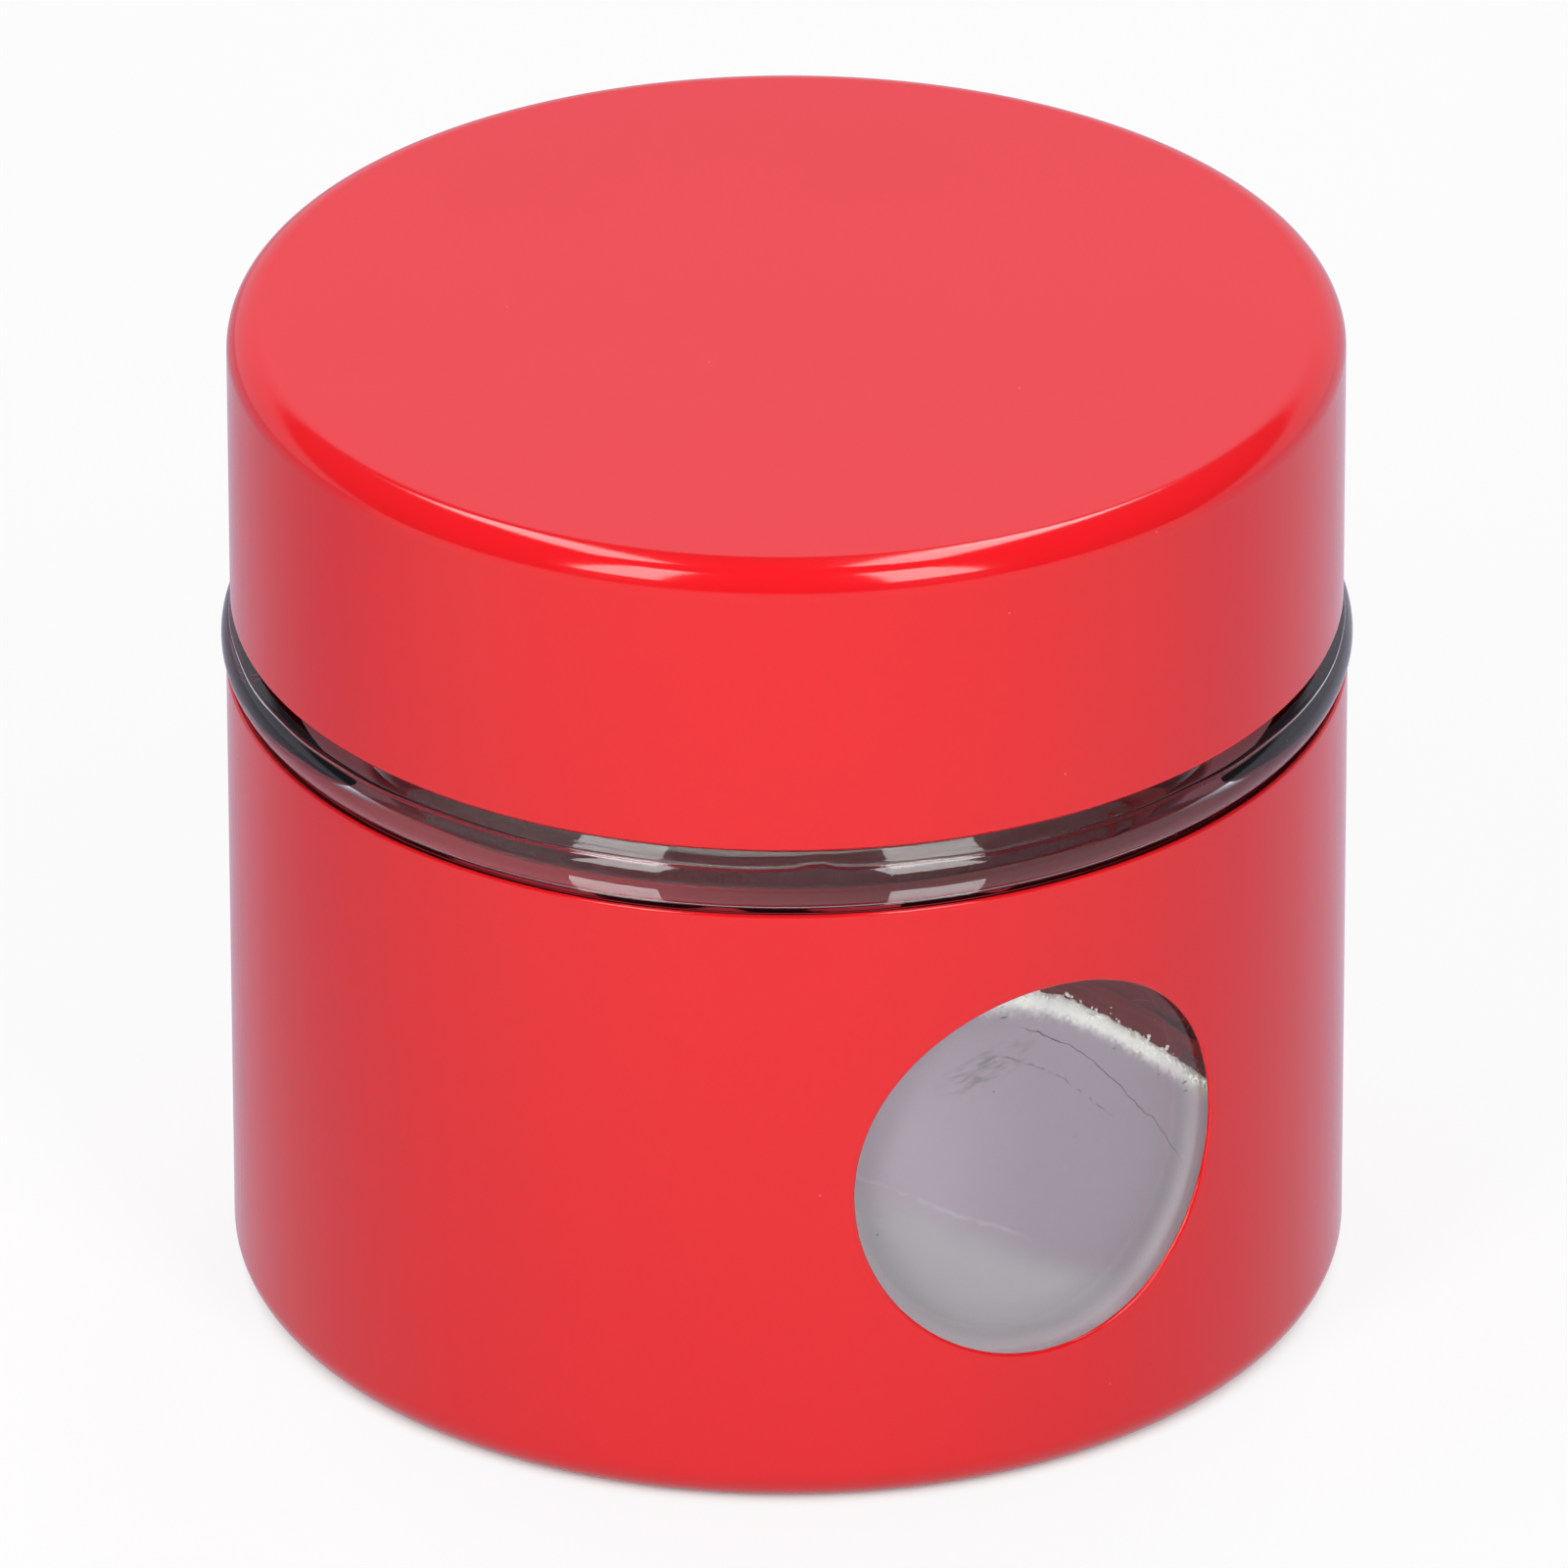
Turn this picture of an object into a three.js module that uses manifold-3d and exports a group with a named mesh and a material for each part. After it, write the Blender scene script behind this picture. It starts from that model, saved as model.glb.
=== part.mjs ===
// A windowed storage canister: a glass jar in a painted steel sleeve, with a screw lid.
// Millimetres, +Z up, the table at z = 0, the sleeve's window facing -Y.
import * as THREE from "three";
import { mergeVertices } from "three/addons/utils/BufferGeometryUtils.js";
import Module from "manifold-3d";

const wasm = await Module();
wasm.setup();

// Outside sizes
const BODY_D = 96; // outside of the sleeve
const SLEEVE_H = 57; // table to the sleeve's top edge
const BAND_H = 5.8; // bare glass between the sleeve and the lid
const LID_H = 26.6;
const LID_STEP = 0.4; // lid's wall set in from the sleeve's
const SHEET = 0.5; // painted steel of the sleeve and the lid
const SLEEVE_BEND = 3; // outer radius of the sleeve's bottom corner
const FLANGE_W = 10; // sleeve's bottom flange, inward from its outside
const LID_BEND = 2.8; // outer radius of the lid's top edge
const HEM_W = 1.7; // lid's lower edge, turned inward under the insert
const WINDOW_D = 35;
const WINDOW_Z = 29.7; // middle of the window

// Glass jar
const WALL = 3.6;
const FLOOR = 5; // glass under the contents, at the heel
const PUNT = 2; // hollow under the middle of the base
const FOOT_W = 7.2; // width of the ring that the jar stands on
const HEEL = 4; // outer radius of the base corner
const HEEL_IN = 5; // inner radius of the base corner
const BEAD_OUT = 0.5; // how far the shoulder bead stands out past the sleeve
const BEAD_CLEAR = 0.85; // bead above the sleeve's top edge, over its outside
const BEAD_GAP = 0.8; // bead's top below the lid's lower edge
const NECK_SET = 7.2; // neck's outside, under the thread, set in from the jar's
const NECK_WALL = 3.2;
const HEADROOM = 9; // jar's rim below the lid's top
const RIM_R = 1.4; // rounding of the rim
const SHOULDER_T = 2.2; // glass of the shoulder
const SHOULDER_R = 3; // inner rounding between the shoulder and the neck
const SHOULDER_SLOPE = 0.6; // rise of the shoulder from the bead to the neck
const HOLLOW = 1.6; // inside of the bead, out past the inner wall
const HOLLOW_H = 2.6; // straight part of the hollow, under the shoulder
const HOLLOW_RUN = 2.6; // from the hollow down to the inner wall
const NECK_ROOT = 2; // rounding between the shoulder and the neck

// Screw thread: ridges on the neck and lugs in the insert that hook under them
const STARTS = 4;
const LEAD = 18; // rise in one whole turn
const RIDGE_H = 1.4; // radial height of a neck ridge
const RIDGE_ROOT = 2; // width of a ridge or lug where it grows out
const RIDGE_TIP = 1.2; // width of a ridge or lug at its crest
const RIDGE_SPAN = 75; // degrees round the neck
const RIDGE_DROP = 9.5; // start of each ridge below the rim
const LUG_SPAN = 45; // degrees round the insert
const LUG_START = 12; // degrees from a ridge's start to its lug's start
const RUN_OUT = 12; // degrees over which each end of a ridge or lug tapers

// Lid insert and seal
const SKIRT_WALL = 1.8;
const INSERT_FLANGE = 1.5;
const PLATE = 1.6;
const RIBS = 12;
const RIB_W = 1.4;
const SEAL_T = 2;
const SEAL_LIP_H = 1.4;
const SEAL_LIP_W = 1;
const PROP_SET = 9.8; // ring on the plate that holds up the lid's top, in from the skirt
const PROP_W = 1.6;

// Contents
const FILL_UNDER = 13.9; // heap's top below the shoulder
const FILL_TURN = 45; // degrees from +X of the way the slope falls
const FILL_START = -30.7; // where the slope begins, along its fall
const FILL_FOOT = 2; // where the slope runs out into a flatter foot
const FILL_SOFT = 1.5; // rounding of these two bends
const FILL_SLOPE = 1.03; // fall for each millimetre along
const FOOT_SLOPE = 0.25;
const FILL_GRID = 20; // facets across the slope

// Fits and facets
const SLIP = 0.3; // between pieces that are slid together or rest on each other
const THREAD_PLAY = 0.4; // between the thread's crests and the walls they face
const EMBED = 0.5; // how deep a joined feature reaches into its parent
const SEGMENTS = 48;
const ARC_STEPS = 2; // half the facets along each rounded corner
const RIDGE_STEPS = 12;

// Sizes that follow
const bodyR = BODY_D / 2;
const lidR = bodyR - LID_STEP;
const lidLow = SLEEVE_H + BAND_H;
const lidTop = lidLow + LID_H;
const glassR = bodyR - SHEET - SLIP;
const insideR = glassR - WALL;
const floorZ = SHEET + FLOOR;
const beadTop = lidLow - BEAD_GAP;
const beadH = beadTop - SLEEVE_H - BEAD_CLEAR;
const beadR = BEAD_OUT + beadH - Math.sqrt(2 * BEAD_OUT * beadH); // meets the sleeve's line and both limits
const beadMidR = bodyR + BEAD_OUT - beadR;
const beadMidZ = beadTop - beadR;
const shoulderZ = beadTop + SHOULDER_SLOPE;
const underShoulder = shoulderZ - SHOULDER_T;
const neckR = glassR - NECK_SET;
const mouthR = neckR - NECK_WALL;
const rimZ = lidTop - HEADROOM;
const ridgeZ = rimZ - RIDGE_DROP;
const skirtR = neckR + RIDGE_H + THREAD_PLAY;
const skirtLow = lidLow + SHEET + SLIP;
const insertR = lidR - SHEET - SLIP;
const sealLow = rimZ + SLIP;
const plateLow = sealLow + SEAL_T + SLIP;
const plateHigh = plateLow + PLATE;
const lipR = mouthR - SLIP;
const fillTop = underShoulder - FILL_UNDER;
const lugUnder = (RIDGE_ROOT + RIDGE_TIP) / 2 + SLIP; // lug's middle below its ridge's middle

const rad = THREE.MathUtils.degToRad;

const material = (color, roughness, extra = {}) =>
  new THREE.MeshStandardMaterial({ color, roughness, metalness: 0, ...extra });

function solid(geometry) {
  const bare = geometry.clone();
  bare.deleteAttribute("normal");
  bare.deleteAttribute("uv");
  const merged = mergeVertices(bare, 1e-4);
  const vertProperties = merged.attributes.position.array;
  const triVerts = new Uint32Array(merged.index.array);
  return new wasm.Manifold(new wasm.Mesh({ numProp: 3, vertProperties, triVerts }));
}

function geometryOf(body) {
  const { vertProperties, triVerts } = body.getMesh();
  const geometry = new THREE.BufferGeometry();
  geometry.setAttribute("position", new THREE.BufferAttribute(vertProperties, 3));
  geometry.setIndex(new THREE.BufferAttribute(triVerts, 1));
  geometry.computeVertexNormals();
  return geometry;
}

function node(name, geometry, finish) {
  const mesh = new THREE.Mesh(geometry, finish);
  mesh.name = name;
  return mesh;
}

// Turns a section, drawn as radius across and height up, about the Z axis.
function turned(section) {
  return new THREE.LatheGeometry(section.getPoints(ARC_STEPS), SEGMENTS).rotateX(Math.PI / 2);
}

// Wraps a shape round the Z axis: x becomes height, y radius and z the angle, climbing with the lead.
function wrapped(geometry, lead = 0) {
  const at = geometry.attributes.position;
  for (let i = 0; i < at.count; i++) {
    const angle = at.getZ(i);
    const radius = at.getY(i);
    const height = at.getX(i) + (lead * angle) / (2 * Math.PI);
    at.setXYZ(i, radius * Math.cos(angle), radius * Math.sin(angle), height);
  }
  return geometry;
}

// One thread ridge from angle 0, its root sunk into the wall it grows from, its ends tapered.
function ridge(wallR, crestR, spanDegrees) {
  const outward = Math.sign(crestR - wallR);
  const section = new THREE.Shape();
  section.moveTo(-RIDGE_ROOT / 2, wallR - outward * EMBED);
  section.lineTo(RIDGE_ROOT / 2, wallR - outward * EMBED);
  section.lineTo(RIDGE_ROOT / 2, wallR);
  section.lineTo(RIDGE_TIP / 2, crestR);
  section.lineTo(-RIDGE_TIP / 2, crestR);
  section.lineTo(-RIDGE_ROOT / 2, wallR);
  const span = rad(spanDegrees);
  const bar = new THREE.ExtrudeGeometry(section, { depth: span, steps: RIDGE_STEPS, bevelEnabled: false });
  const at = bar.attributes.position;
  for (let i = 0; i < at.count; i++) {
    if (Math.abs(at.getY(i) - crestR) > 1e-4) continue;
    const fromEnd = Math.min(at.getZ(i), span - at.getZ(i));
    const share = Math.min(1, 0.1 + fromEnd / rad(RUN_OUT));
    at.setY(i, wallR + share * (crestR - wallR));
  }
  return wrapped(bar, LEAD);
}

function glassJar() {
  const section = new THREE.Path();
  const footR = glassR - HEEL - FOOT_W;
  section.moveTo(0, SHEET + PUNT);
  section.quadraticCurveTo(footR / 2, SHEET + PUNT, footR, SHEET);
  section.lineTo(glassR - HEEL, SHEET);
  section.absarc(glassR - HEEL, SHEET + HEEL, HEEL, -Math.PI / 2, 0);
  const beadFrom = Math.acos((glassR - beadMidR) / beadR);
  section.absarc(beadMidR, beadMidZ, beadR, -beadFrom, Math.PI / 2);
  section.absarc(neckR + NECK_ROOT, shoulderZ + NECK_ROOT, NECK_ROOT, -Math.PI / 2, -Math.PI, true);
  section.absarc(neckR - RIM_R, rimZ - RIM_R, RIM_R, 0, Math.PI / 2);
  section.absarc(mouthR + RIM_R, rimZ - RIM_R, RIM_R, Math.PI / 2, Math.PI);
  section.absarc(mouthR + SHOULDER_R, underShoulder + SHOULDER_R, SHOULDER_R, -Math.PI, -Math.PI / 2);
  section.absarc(insideR, underShoulder - HOLLOW, HOLLOW, Math.PI / 2, 0, true);
  section.lineTo(insideR + HOLLOW, underShoulder - HOLLOW_H);
  section.lineTo(insideR, underShoulder - HOLLOW_H - HOLLOW_RUN);
  section.absarc(insideR - HEEL_IN, floorZ + HEEL_IN, HEEL_IN, 0, -Math.PI / 2, true);
  section.lineTo(0, floorZ);

  let jar = solid(turned(section));
  for (let start = 0; start < STARTS; start++) {
    const one = ridge(neckR, neckR + RIDGE_H, RIDGE_SPAN);
    one.rotateZ((2 * Math.PI * start) / STARTS).translate(0, 0, ridgeZ);
    jar = jar.add(solid(one));
  }
  return geometryOf(jar);
}

// The window is punched in the flat sheet, so the punch is a round bar wrapped onto the rolled wall.
function windowPunch() {
  const round = new THREE.Shape();
  round.absarc(0, 0, WINDOW_D / 2, 0, 2 * Math.PI);
  const past = bodyR / 8; // clears the wall between the punch's far corners
  const length = SHEET + 2 * past;
  const bar = new THREE.ExtrudeGeometry(round, { depth: length, curveSegments: 24, bevelEnabled: false });
  const at = bar.attributes.position;
  for (let i = 0; i < at.count; i++) {
    const height = WINDOW_Z + at.getY(i);
    const radius = bodyR - SHEET - past + at.getZ(i);
    const angle = at.getX(i) / bodyR - Math.PI / 2;
    at.setXYZ(i, height, radius, angle);
  }
  return wrapped(bar);
}

function bodySleeve() {
  const bendR = bodyR - SLEEVE_BEND;
  const section = new THREE.Path();
  section.moveTo(bodyR - FLANGE_W, 0);
  section.lineTo(bendR, 0);
  section.absarc(bendR, SLEEVE_BEND, SLEEVE_BEND, -Math.PI / 2, 0);
  section.lineTo(bodyR, SLEEVE_H);
  section.lineTo(bodyR - SHEET, SLEEVE_H);
  section.absarc(bendR, SLEEVE_BEND, SLEEVE_BEND - SHEET, 0, -Math.PI / 2, true);
  section.lineTo(bodyR - FLANGE_W, SHEET);
  section.lineTo(bodyR - FLANGE_W, 0);
  return geometryOf(solid(turned(section)).subtract(solid(windowPunch())));
}

function lidShell() {
  const bendR = lidR - LID_BEND;
  const bendZ = lidTop - LID_BEND;
  const section = new THREE.Path();
  section.moveTo(0, lidTop - SHEET);
  section.lineTo(bendR, lidTop - SHEET);
  section.absarc(bendR, bendZ, LID_BEND - SHEET, Math.PI / 2, 0, true);
  section.lineTo(lidR - SHEET, lidLow + SHEET);
  section.lineTo(lidR - HEM_W, lidLow + SHEET);
  section.lineTo(lidR - HEM_W, lidLow);
  section.absarc(lidR - SHEET, lidLow + SHEET, SHEET, -Math.PI / 2, 0);
  section.absarc(bendR, bendZ, LID_BEND, 0, Math.PI / 2);
  section.lineTo(0, lidTop);
  return turned(section);
}

function lidInsert() {
  const outR = skirtR + SKIRT_WALL;
  const propR = skirtR - PROP_SET;
  const propTop = lidTop - SHEET - SLIP;
  const section = new THREE.Path();
  section.moveTo(0, plateLow);
  section.lineTo(lipR - SEAL_LIP_W, plateLow);
  section.lineTo(lipR - SEAL_LIP_W, plateLow - SEAL_LIP_H);
  section.lineTo(lipR, plateLow - SEAL_LIP_H);
  section.lineTo(lipR, plateLow);
  section.lineTo(skirtR, plateLow);
  section.lineTo(skirtR, skirtLow);
  section.lineTo(insertR, skirtLow);
  section.lineTo(insertR, skirtLow + INSERT_FLANGE);
  section.lineTo(outR, skirtLow + INSERT_FLANGE);
  section.lineTo(outR, plateHigh);
  section.lineTo(propR, plateHigh);
  section.lineTo(propR, propTop);
  section.lineTo(propR - PROP_W, propTop);
  section.lineTo(propR - PROP_W, plateHigh);
  section.lineTo(0, plateHigh);

  let insert = solid(turned(section));
  const ribLong = insertR - outR + EMBED;
  const ribHigh = plateHigh - skirtLow - INSERT_FLANGE + EMBED;
  for (let i = 0; i < RIBS; i++) {
    const rib = new THREE.BoxGeometry(ribLong, RIB_W, ribHigh);
    rib.translate(insertR - ribLong / 2, 0, plateHigh - ribHigh / 2);
    insert = insert.add(solid(rib.rotateZ((2 * Math.PI * i) / RIBS)));
  }
  for (let start = 0; start < STARTS; start++) {
    const lug = ridge(skirtR, neckR + THREAD_PLAY, LUG_SPAN);
    const lugZ = ridgeZ - lugUnder + (LEAD * LUG_START) / 360;
    lug.rotateZ((2 * Math.PI * start) / STARTS + rad(LUG_START)).translate(0, 0, lugZ);
    insert = insert.add(solid(lug));
  }
  return geometryOf(insert);
}

function lidSeal() {
  const section = new THREE.Path();
  section.moveTo(lipR + SLIP, sealLow);
  section.lineTo(skirtR - SLIP, sealLow);
  section.lineTo(skirtR - SLIP, sealLow + SEAL_T);
  section.lineTo(lipR + SLIP, sealLow + SEAL_T);
  section.lineTo(lipR + SLIP, sealLow);
  return turned(section);
}

// A line that is flat up to the bend and then climbs one to one.
function climbFrom(bend, along) {
  return FILL_SOFT * Math.log(1 + Math.exp((along - bend) / FILL_SOFT));
}

// The powder lies heaped to one side. Its surface falls along one way across the jar, down to the bare floor.
function powderTop(x, y) {
  const along = x * Math.cos(rad(FILL_TURN)) + y * Math.sin(rad(FILL_TURN));
  const flatter = (FILL_SLOPE - FOOT_SLOPE) * climbFrom(FILL_FOOT, along);
  return fillTop - FILL_SLOPE * climbFrom(FILL_START, along) + flatter;
}

function powderFill() {
  const outR = insideR - SLIP;
  const low = floorZ + SLIP;
  const heel = HEEL_IN - SLIP;
  const section = new THREE.Path();
  section.moveTo(0, low);
  section.lineTo(outR - heel, low);
  section.absarc(outR - heel, low + heel, heel, -Math.PI / 2, 0);
  section.lineTo(outR, fillTop);
  section.lineTo(0, fillTop);
  const above = new THREE.BoxGeometry(2.2 * outR, 2.2 * outR, 1, FILL_GRID, FILL_GRID, 1);
  const at = above.attributes.position;
  for (let i = 0; i < at.count; i++) {
    at.setZ(i, at.getZ(i) > 0 ? fillTop + EMBED : powderTop(at.getX(i), at.getY(i)));
  }
  return geometryOf(solid(turned(section)).subtract(solid(above)));
}

const paint = material("#e01f26", 0.22);
const clear = material("#dfe8e4", 0.05, { transparent: true, opacity: 0.4 });
const canister = new THREE.Group();
canister.add(
  node("glass_jar", glassJar(), clear),
  node("body_sleeve", bodySleeve(), paint),
  node("powder_fill", powderFill(), material("#ece9ea", 0.95)),
  node("lid_seal", lidSeal(), material("#d5d8d8", 0.55)),
  node("lid_insert", lidInsert(), material("#e9e7e1", 0.45)),
  node("lid_shell", lidShell(), paint.clone()),
);

export default canister;
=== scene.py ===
# %% [markdown]
# # A glass canister in a painted steel sleeve
# The canister is a clear glass jar. A rolled steel sleeve with one round window hides most of it, a bare
# glass bead shows above the sleeve, and a painted steel lid with a plastic screw cap inside it closes the
# jar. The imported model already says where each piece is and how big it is, so this lesson loads it first,
# takes its sizes from it, and then models a finer piece over each plain one.

# %% Load the frame
import math
import random

import bmesh
import bpy
from mathutils import Matrix, Quaternion, Vector, noise


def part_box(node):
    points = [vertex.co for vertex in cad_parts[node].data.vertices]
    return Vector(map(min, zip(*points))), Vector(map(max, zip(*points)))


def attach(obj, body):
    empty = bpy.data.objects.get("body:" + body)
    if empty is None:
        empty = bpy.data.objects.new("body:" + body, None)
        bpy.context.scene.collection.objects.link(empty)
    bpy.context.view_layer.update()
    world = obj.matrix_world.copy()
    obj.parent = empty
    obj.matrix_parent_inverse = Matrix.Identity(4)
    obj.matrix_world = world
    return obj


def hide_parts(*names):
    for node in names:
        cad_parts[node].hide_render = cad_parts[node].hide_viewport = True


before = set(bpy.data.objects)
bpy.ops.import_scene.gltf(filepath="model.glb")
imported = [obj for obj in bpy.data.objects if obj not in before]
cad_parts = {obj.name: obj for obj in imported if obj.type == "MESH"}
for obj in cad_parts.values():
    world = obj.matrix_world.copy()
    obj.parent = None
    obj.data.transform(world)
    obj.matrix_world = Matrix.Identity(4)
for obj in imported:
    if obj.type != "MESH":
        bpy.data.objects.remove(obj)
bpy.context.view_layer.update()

# %% [markdown]
# ## Sizes that every piece shares
# Each outside size is read from a node's box, so a finer piece can't grow past the plain one. What a box
# doesn't tell, such as the thickness of the steel sheet, is written here as a real size in millimetres.

# %% Shared sizes
MM = 0.001
SHEET = 0.5 * MM
SLEEVE_PLAY = 0.3 * MM
CLOSE = 0.01 * MM
sleeve_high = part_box("body_sleeve")[1]
lid_low, lid_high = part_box("lid_shell")
jar_low, jar_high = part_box("glass_jar")
BODY_R = sleeve_high.x
SLEEVE_TOP = sleeve_high.z
LID_R = lid_high.x
LID_LOW = lid_low.z
LID_TOP = lid_high.z
RIM_Z = jar_high.z
GLASS_R = BODY_R - SHEET - SLEEVE_PLAY
print("sleeve radius", round(BODY_R, 5), "lid from", round(LID_LOW, 5), "to", round(LID_TOP, 5))

# %% [markdown]
# ## Drawing a section and turning it
# Most pieces of a canister are round: glass is pressed in a round mould, the lid is drawn on a round punch
# and the screw cap is moulded. A lathe could be imitated with the Screw modifier, but bmesh's spin gives
# the mesh straight away. Spin slows down as its mesh grows, so it turns one wedge, which is then copied
# round. The section is a short list of corners, each with the radius of its rounding, as a drawing would
# give it.

# %% Section helpers
FACET = math.radians(8)
TURN_STEPS = 240
WEDGES = 12
MERGE = 1e-6


def arc(mid_r, mid_z, radius, start, end, facet=FACET):
    """Corners along an arc of a section, from one angle in degrees to another, without rounding."""
    steps = max(2, round(math.radians(abs(end - start)) / facet))
    turns = [math.radians(start + (end - start) * i / steps) for i in range(steps + 1)]
    return [(mid_r + radius * math.cos(a), mid_z + radius * math.sin(a), 0) for a in turns]


def rows(start, end, count):
    """Corners spread along a straight stretch of a section, the far end left out."""
    return [(start[0] + (end[0] - start[0]) * i / count, start[1] + (end[1] - start[1]) * i / count, 0)
            for i in range(count)]


def outline(corners):
    """Points of a section (radius, height) through corners that are given as (radius, height, rounding)."""
    points = []
    for i, (r, z, rounding) in enumerate(corners):
        corner = Vector((r, z))
        if rounding == 0:
            points.append(corner)
            continue
        back = (Vector(corners[i - 1][:2]) - corner).normalized()
        onward = (Vector(corners[(i + 1) % len(corners)][:2]) - corner).normalized()
        half = back.angle(onward) / 2
        middle = corner + (back + onward).normalized() * rounding / math.sin(half)
        spoke = corner + back * rounding / math.tan(half) - middle
        sweep = math.copysign(math.pi - 2 * half, onward.cross(back))
        steps = max(2, round(abs(sweep) / FACET))
        points += [middle + Matrix.Rotation(sweep * k / steps, 2) @ spoke for k in range(steps + 1)]
    return points


def turned(corners, closed=False, steps=TURN_STEPS):
    """A bmesh of a section turned about the Z axis. A closed section is a ring clear of the axis."""
    bm = bmesh.new()
    points = [bm.verts.new((p.x, 0, p.y)) for p in outline(corners)]
    lines = [bm.edges.new(pair) for pair in zip(points, points[1:] + points[:1] * closed)]
    wedge = 2 * math.pi / WEDGES
    bmesh.ops.spin(bm, geom=points + lines, cent=(0, 0, 0), axis=(0, 0, 1),
                   angle=wedge, steps=steps // WEDGES)
    first = bm.verts[:] + bm.edges[:] + bm.faces[:]
    for k in range(1, WEDGES):
        copied = bmesh.ops.duplicate(bm, geom=first)["geom"]
        bmesh.ops.rotate(bm, cent=(0, 0, 0), matrix=Matrix.Rotation(wedge * k, 3, "Z"),
                         verts=[g for g in copied if isinstance(g, bmesh.types.BMVert)])
    bmesh.ops.remove_doubles(bm, verts=bm.verts, dist=MERGE)
    bmesh.ops.recalc_face_normals(bm, faces=bm.faces)
    return bm


print("a full turn has", TURN_STEPS, "steps")

# %% [markdown]
# ## Handing a mesh over as a piece
# Every piece is finished the same way: shaded smooth with its true corners kept sharp, given normals that
# follow the large faces so that flat metal reflects flat, and tied to the body that it moves with.

# %% Piece helper
SHARP = math.radians(38)


def piece(bm, name, body, node):
    """Turns a bmesh into an object that rides on a body and stands for one node of the frame."""
    mesh = bpy.data.meshes.new(name)
    bm.to_mesh(mesh)
    bm.free()
    mesh.shade_smooth()
    mesh.set_sharp_from_angle(angle=SHARP)
    made = bpy.data.objects.new(name, mesh)
    bpy.context.collection.objects.link(made)
    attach(made, body)
    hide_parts(node)
    print(name, "has", len(mesh.polygons), "faces")
    return made


def even_normals(made):
    """Lets a piece's large faces set its normals, so that rounded corners don't bend the flats."""
    weighted = made.modifiers.new("even normals", "WEIGHTED_NORMAL")
    weighted.keep_sharp = True
    weighted.weight = 100


print("corners sharper than", round(math.degrees(SHARP)), "degrees stay sharp")

# %% [markdown]
# ## The sleeve's blank
# The real sleeve starts as a flat strip of steel with a round hole punched in it, and the hole is then
# rolled with the strip, so it ends up wider round the curve than a hole drilled straight through would. A
# boolean cut would leave long thin faces round the hole. Here the strip is a grid and a square of it is
# taken out. The square's rim is extruded, its new points are moved onto a circle, and the faces between are
# subdivided, so that they run evenly up to the window's edge.

# %% Sleeve blank
SLEEVE_BEND = 3 * MM
WINDOW_R = 17.5 * MM
WINDOW_Z = 29.7 * MM
COLUMNS = 240
ROWS = 42
WINDOW_CELLS = 36
WINDOW_RINGS = 6
JUST_OVER = 1.01
blank_w = 2 * math.pi * BODY_R
blank_h = SLEEVE_TOP - SLEEVE_BEND
blank_mid = (SLEEVE_TOP + SLEEVE_BEND) / 2
half_w = blank_w * WINDOW_CELLS / COLUMNS / 2
half_h = blank_h * WINDOW_CELLS / ROWS / 2


def round_place(across, up):
    """Where a point of the square's rim, from -1 to 1 each way, goes on the window's edge."""
    if abs(across) >= abs(up):
        turn = math.pi / 4 * up / across + (math.pi if across < 0 else 0)
    else:
        turn = math.pi / 2 - math.pi / 4 * across / up + (math.pi if up < 0 else 0)
    return Vector((WINDOW_R * math.cos(turn), WINDOW_Z + WINDOW_R * math.sin(turn), 0))


sleeve_bm = bmesh.new()
bmesh.ops.create_grid(sleeve_bm, x_segments=COLUMNS, y_segments=ROWS, size=0.5)
bmesh.ops.scale(sleeve_bm, vec=(blank_w, blank_h, 1), verts=sleeve_bm.verts)
bmesh.ops.translate(sleeve_bm, vec=(0, blank_mid, 0), verts=sleeve_bm.verts)
square = [f for f in sleeve_bm.faces
          if abs(f.calc_center_median().x) < half_w and abs(f.calc_center_median().y - blank_mid) < half_h]
bmesh.ops.delete(sleeve_bm, geom=square, context="FACES")
near_w = half_w * JUST_OVER
near_h = half_h * JUST_OVER
square_rim = [e for e in sleeve_bm.edges if e.is_boundary
              and all(abs(v.co.x) < near_w and abs(v.co.y - blank_mid) < near_h for v in e.verts)]
grown = bmesh.ops.extrude_edge_only(sleeve_bm, edges=square_rim)["geom"]
hole_rim = [g for g in grown if isinstance(g, bmesh.types.BMEdge)]
hole_verts = {v for e in hole_rim for v in e.verts}
spokes = [e for e in sleeve_bm.edges if len(hole_verts.intersection(e.verts)) == 1]
for v in hole_verts:
    v.co = round_place(v.co.x / half_w, (v.co.y - blank_mid) / half_h)
bmesh.ops.subdivide_edges(sleeve_bm, edges=spokes, cuts=WINDOW_RINGS, use_grid_fill=True)
print("window edge has", len(hole_rim), "edges, blank", len(sleeve_bm.faces), "faces")

# %% [markdown]
# ## Rolling the sleeve
# Rolling only changes where each point is: the distance along the strip becomes an angle. The two ends meet
# at the back, where the real sleeve is welded, and are merged. The bottom edge is then extruded round its
# bend and in under the jar, a ring at a time.

# %% Roll the sleeve
FLANGE_W = 10 * MM
for v in sleeve_bm.verts:
    angle = v.co.x / BODY_R - math.pi / 2
    v.co = (BODY_R * math.cos(angle), BODY_R * math.sin(angle), v.co.y)
bmesh.ops.remove_doubles(sleeve_bm, verts=sleeve_bm.verts, dist=MERGE)

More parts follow.
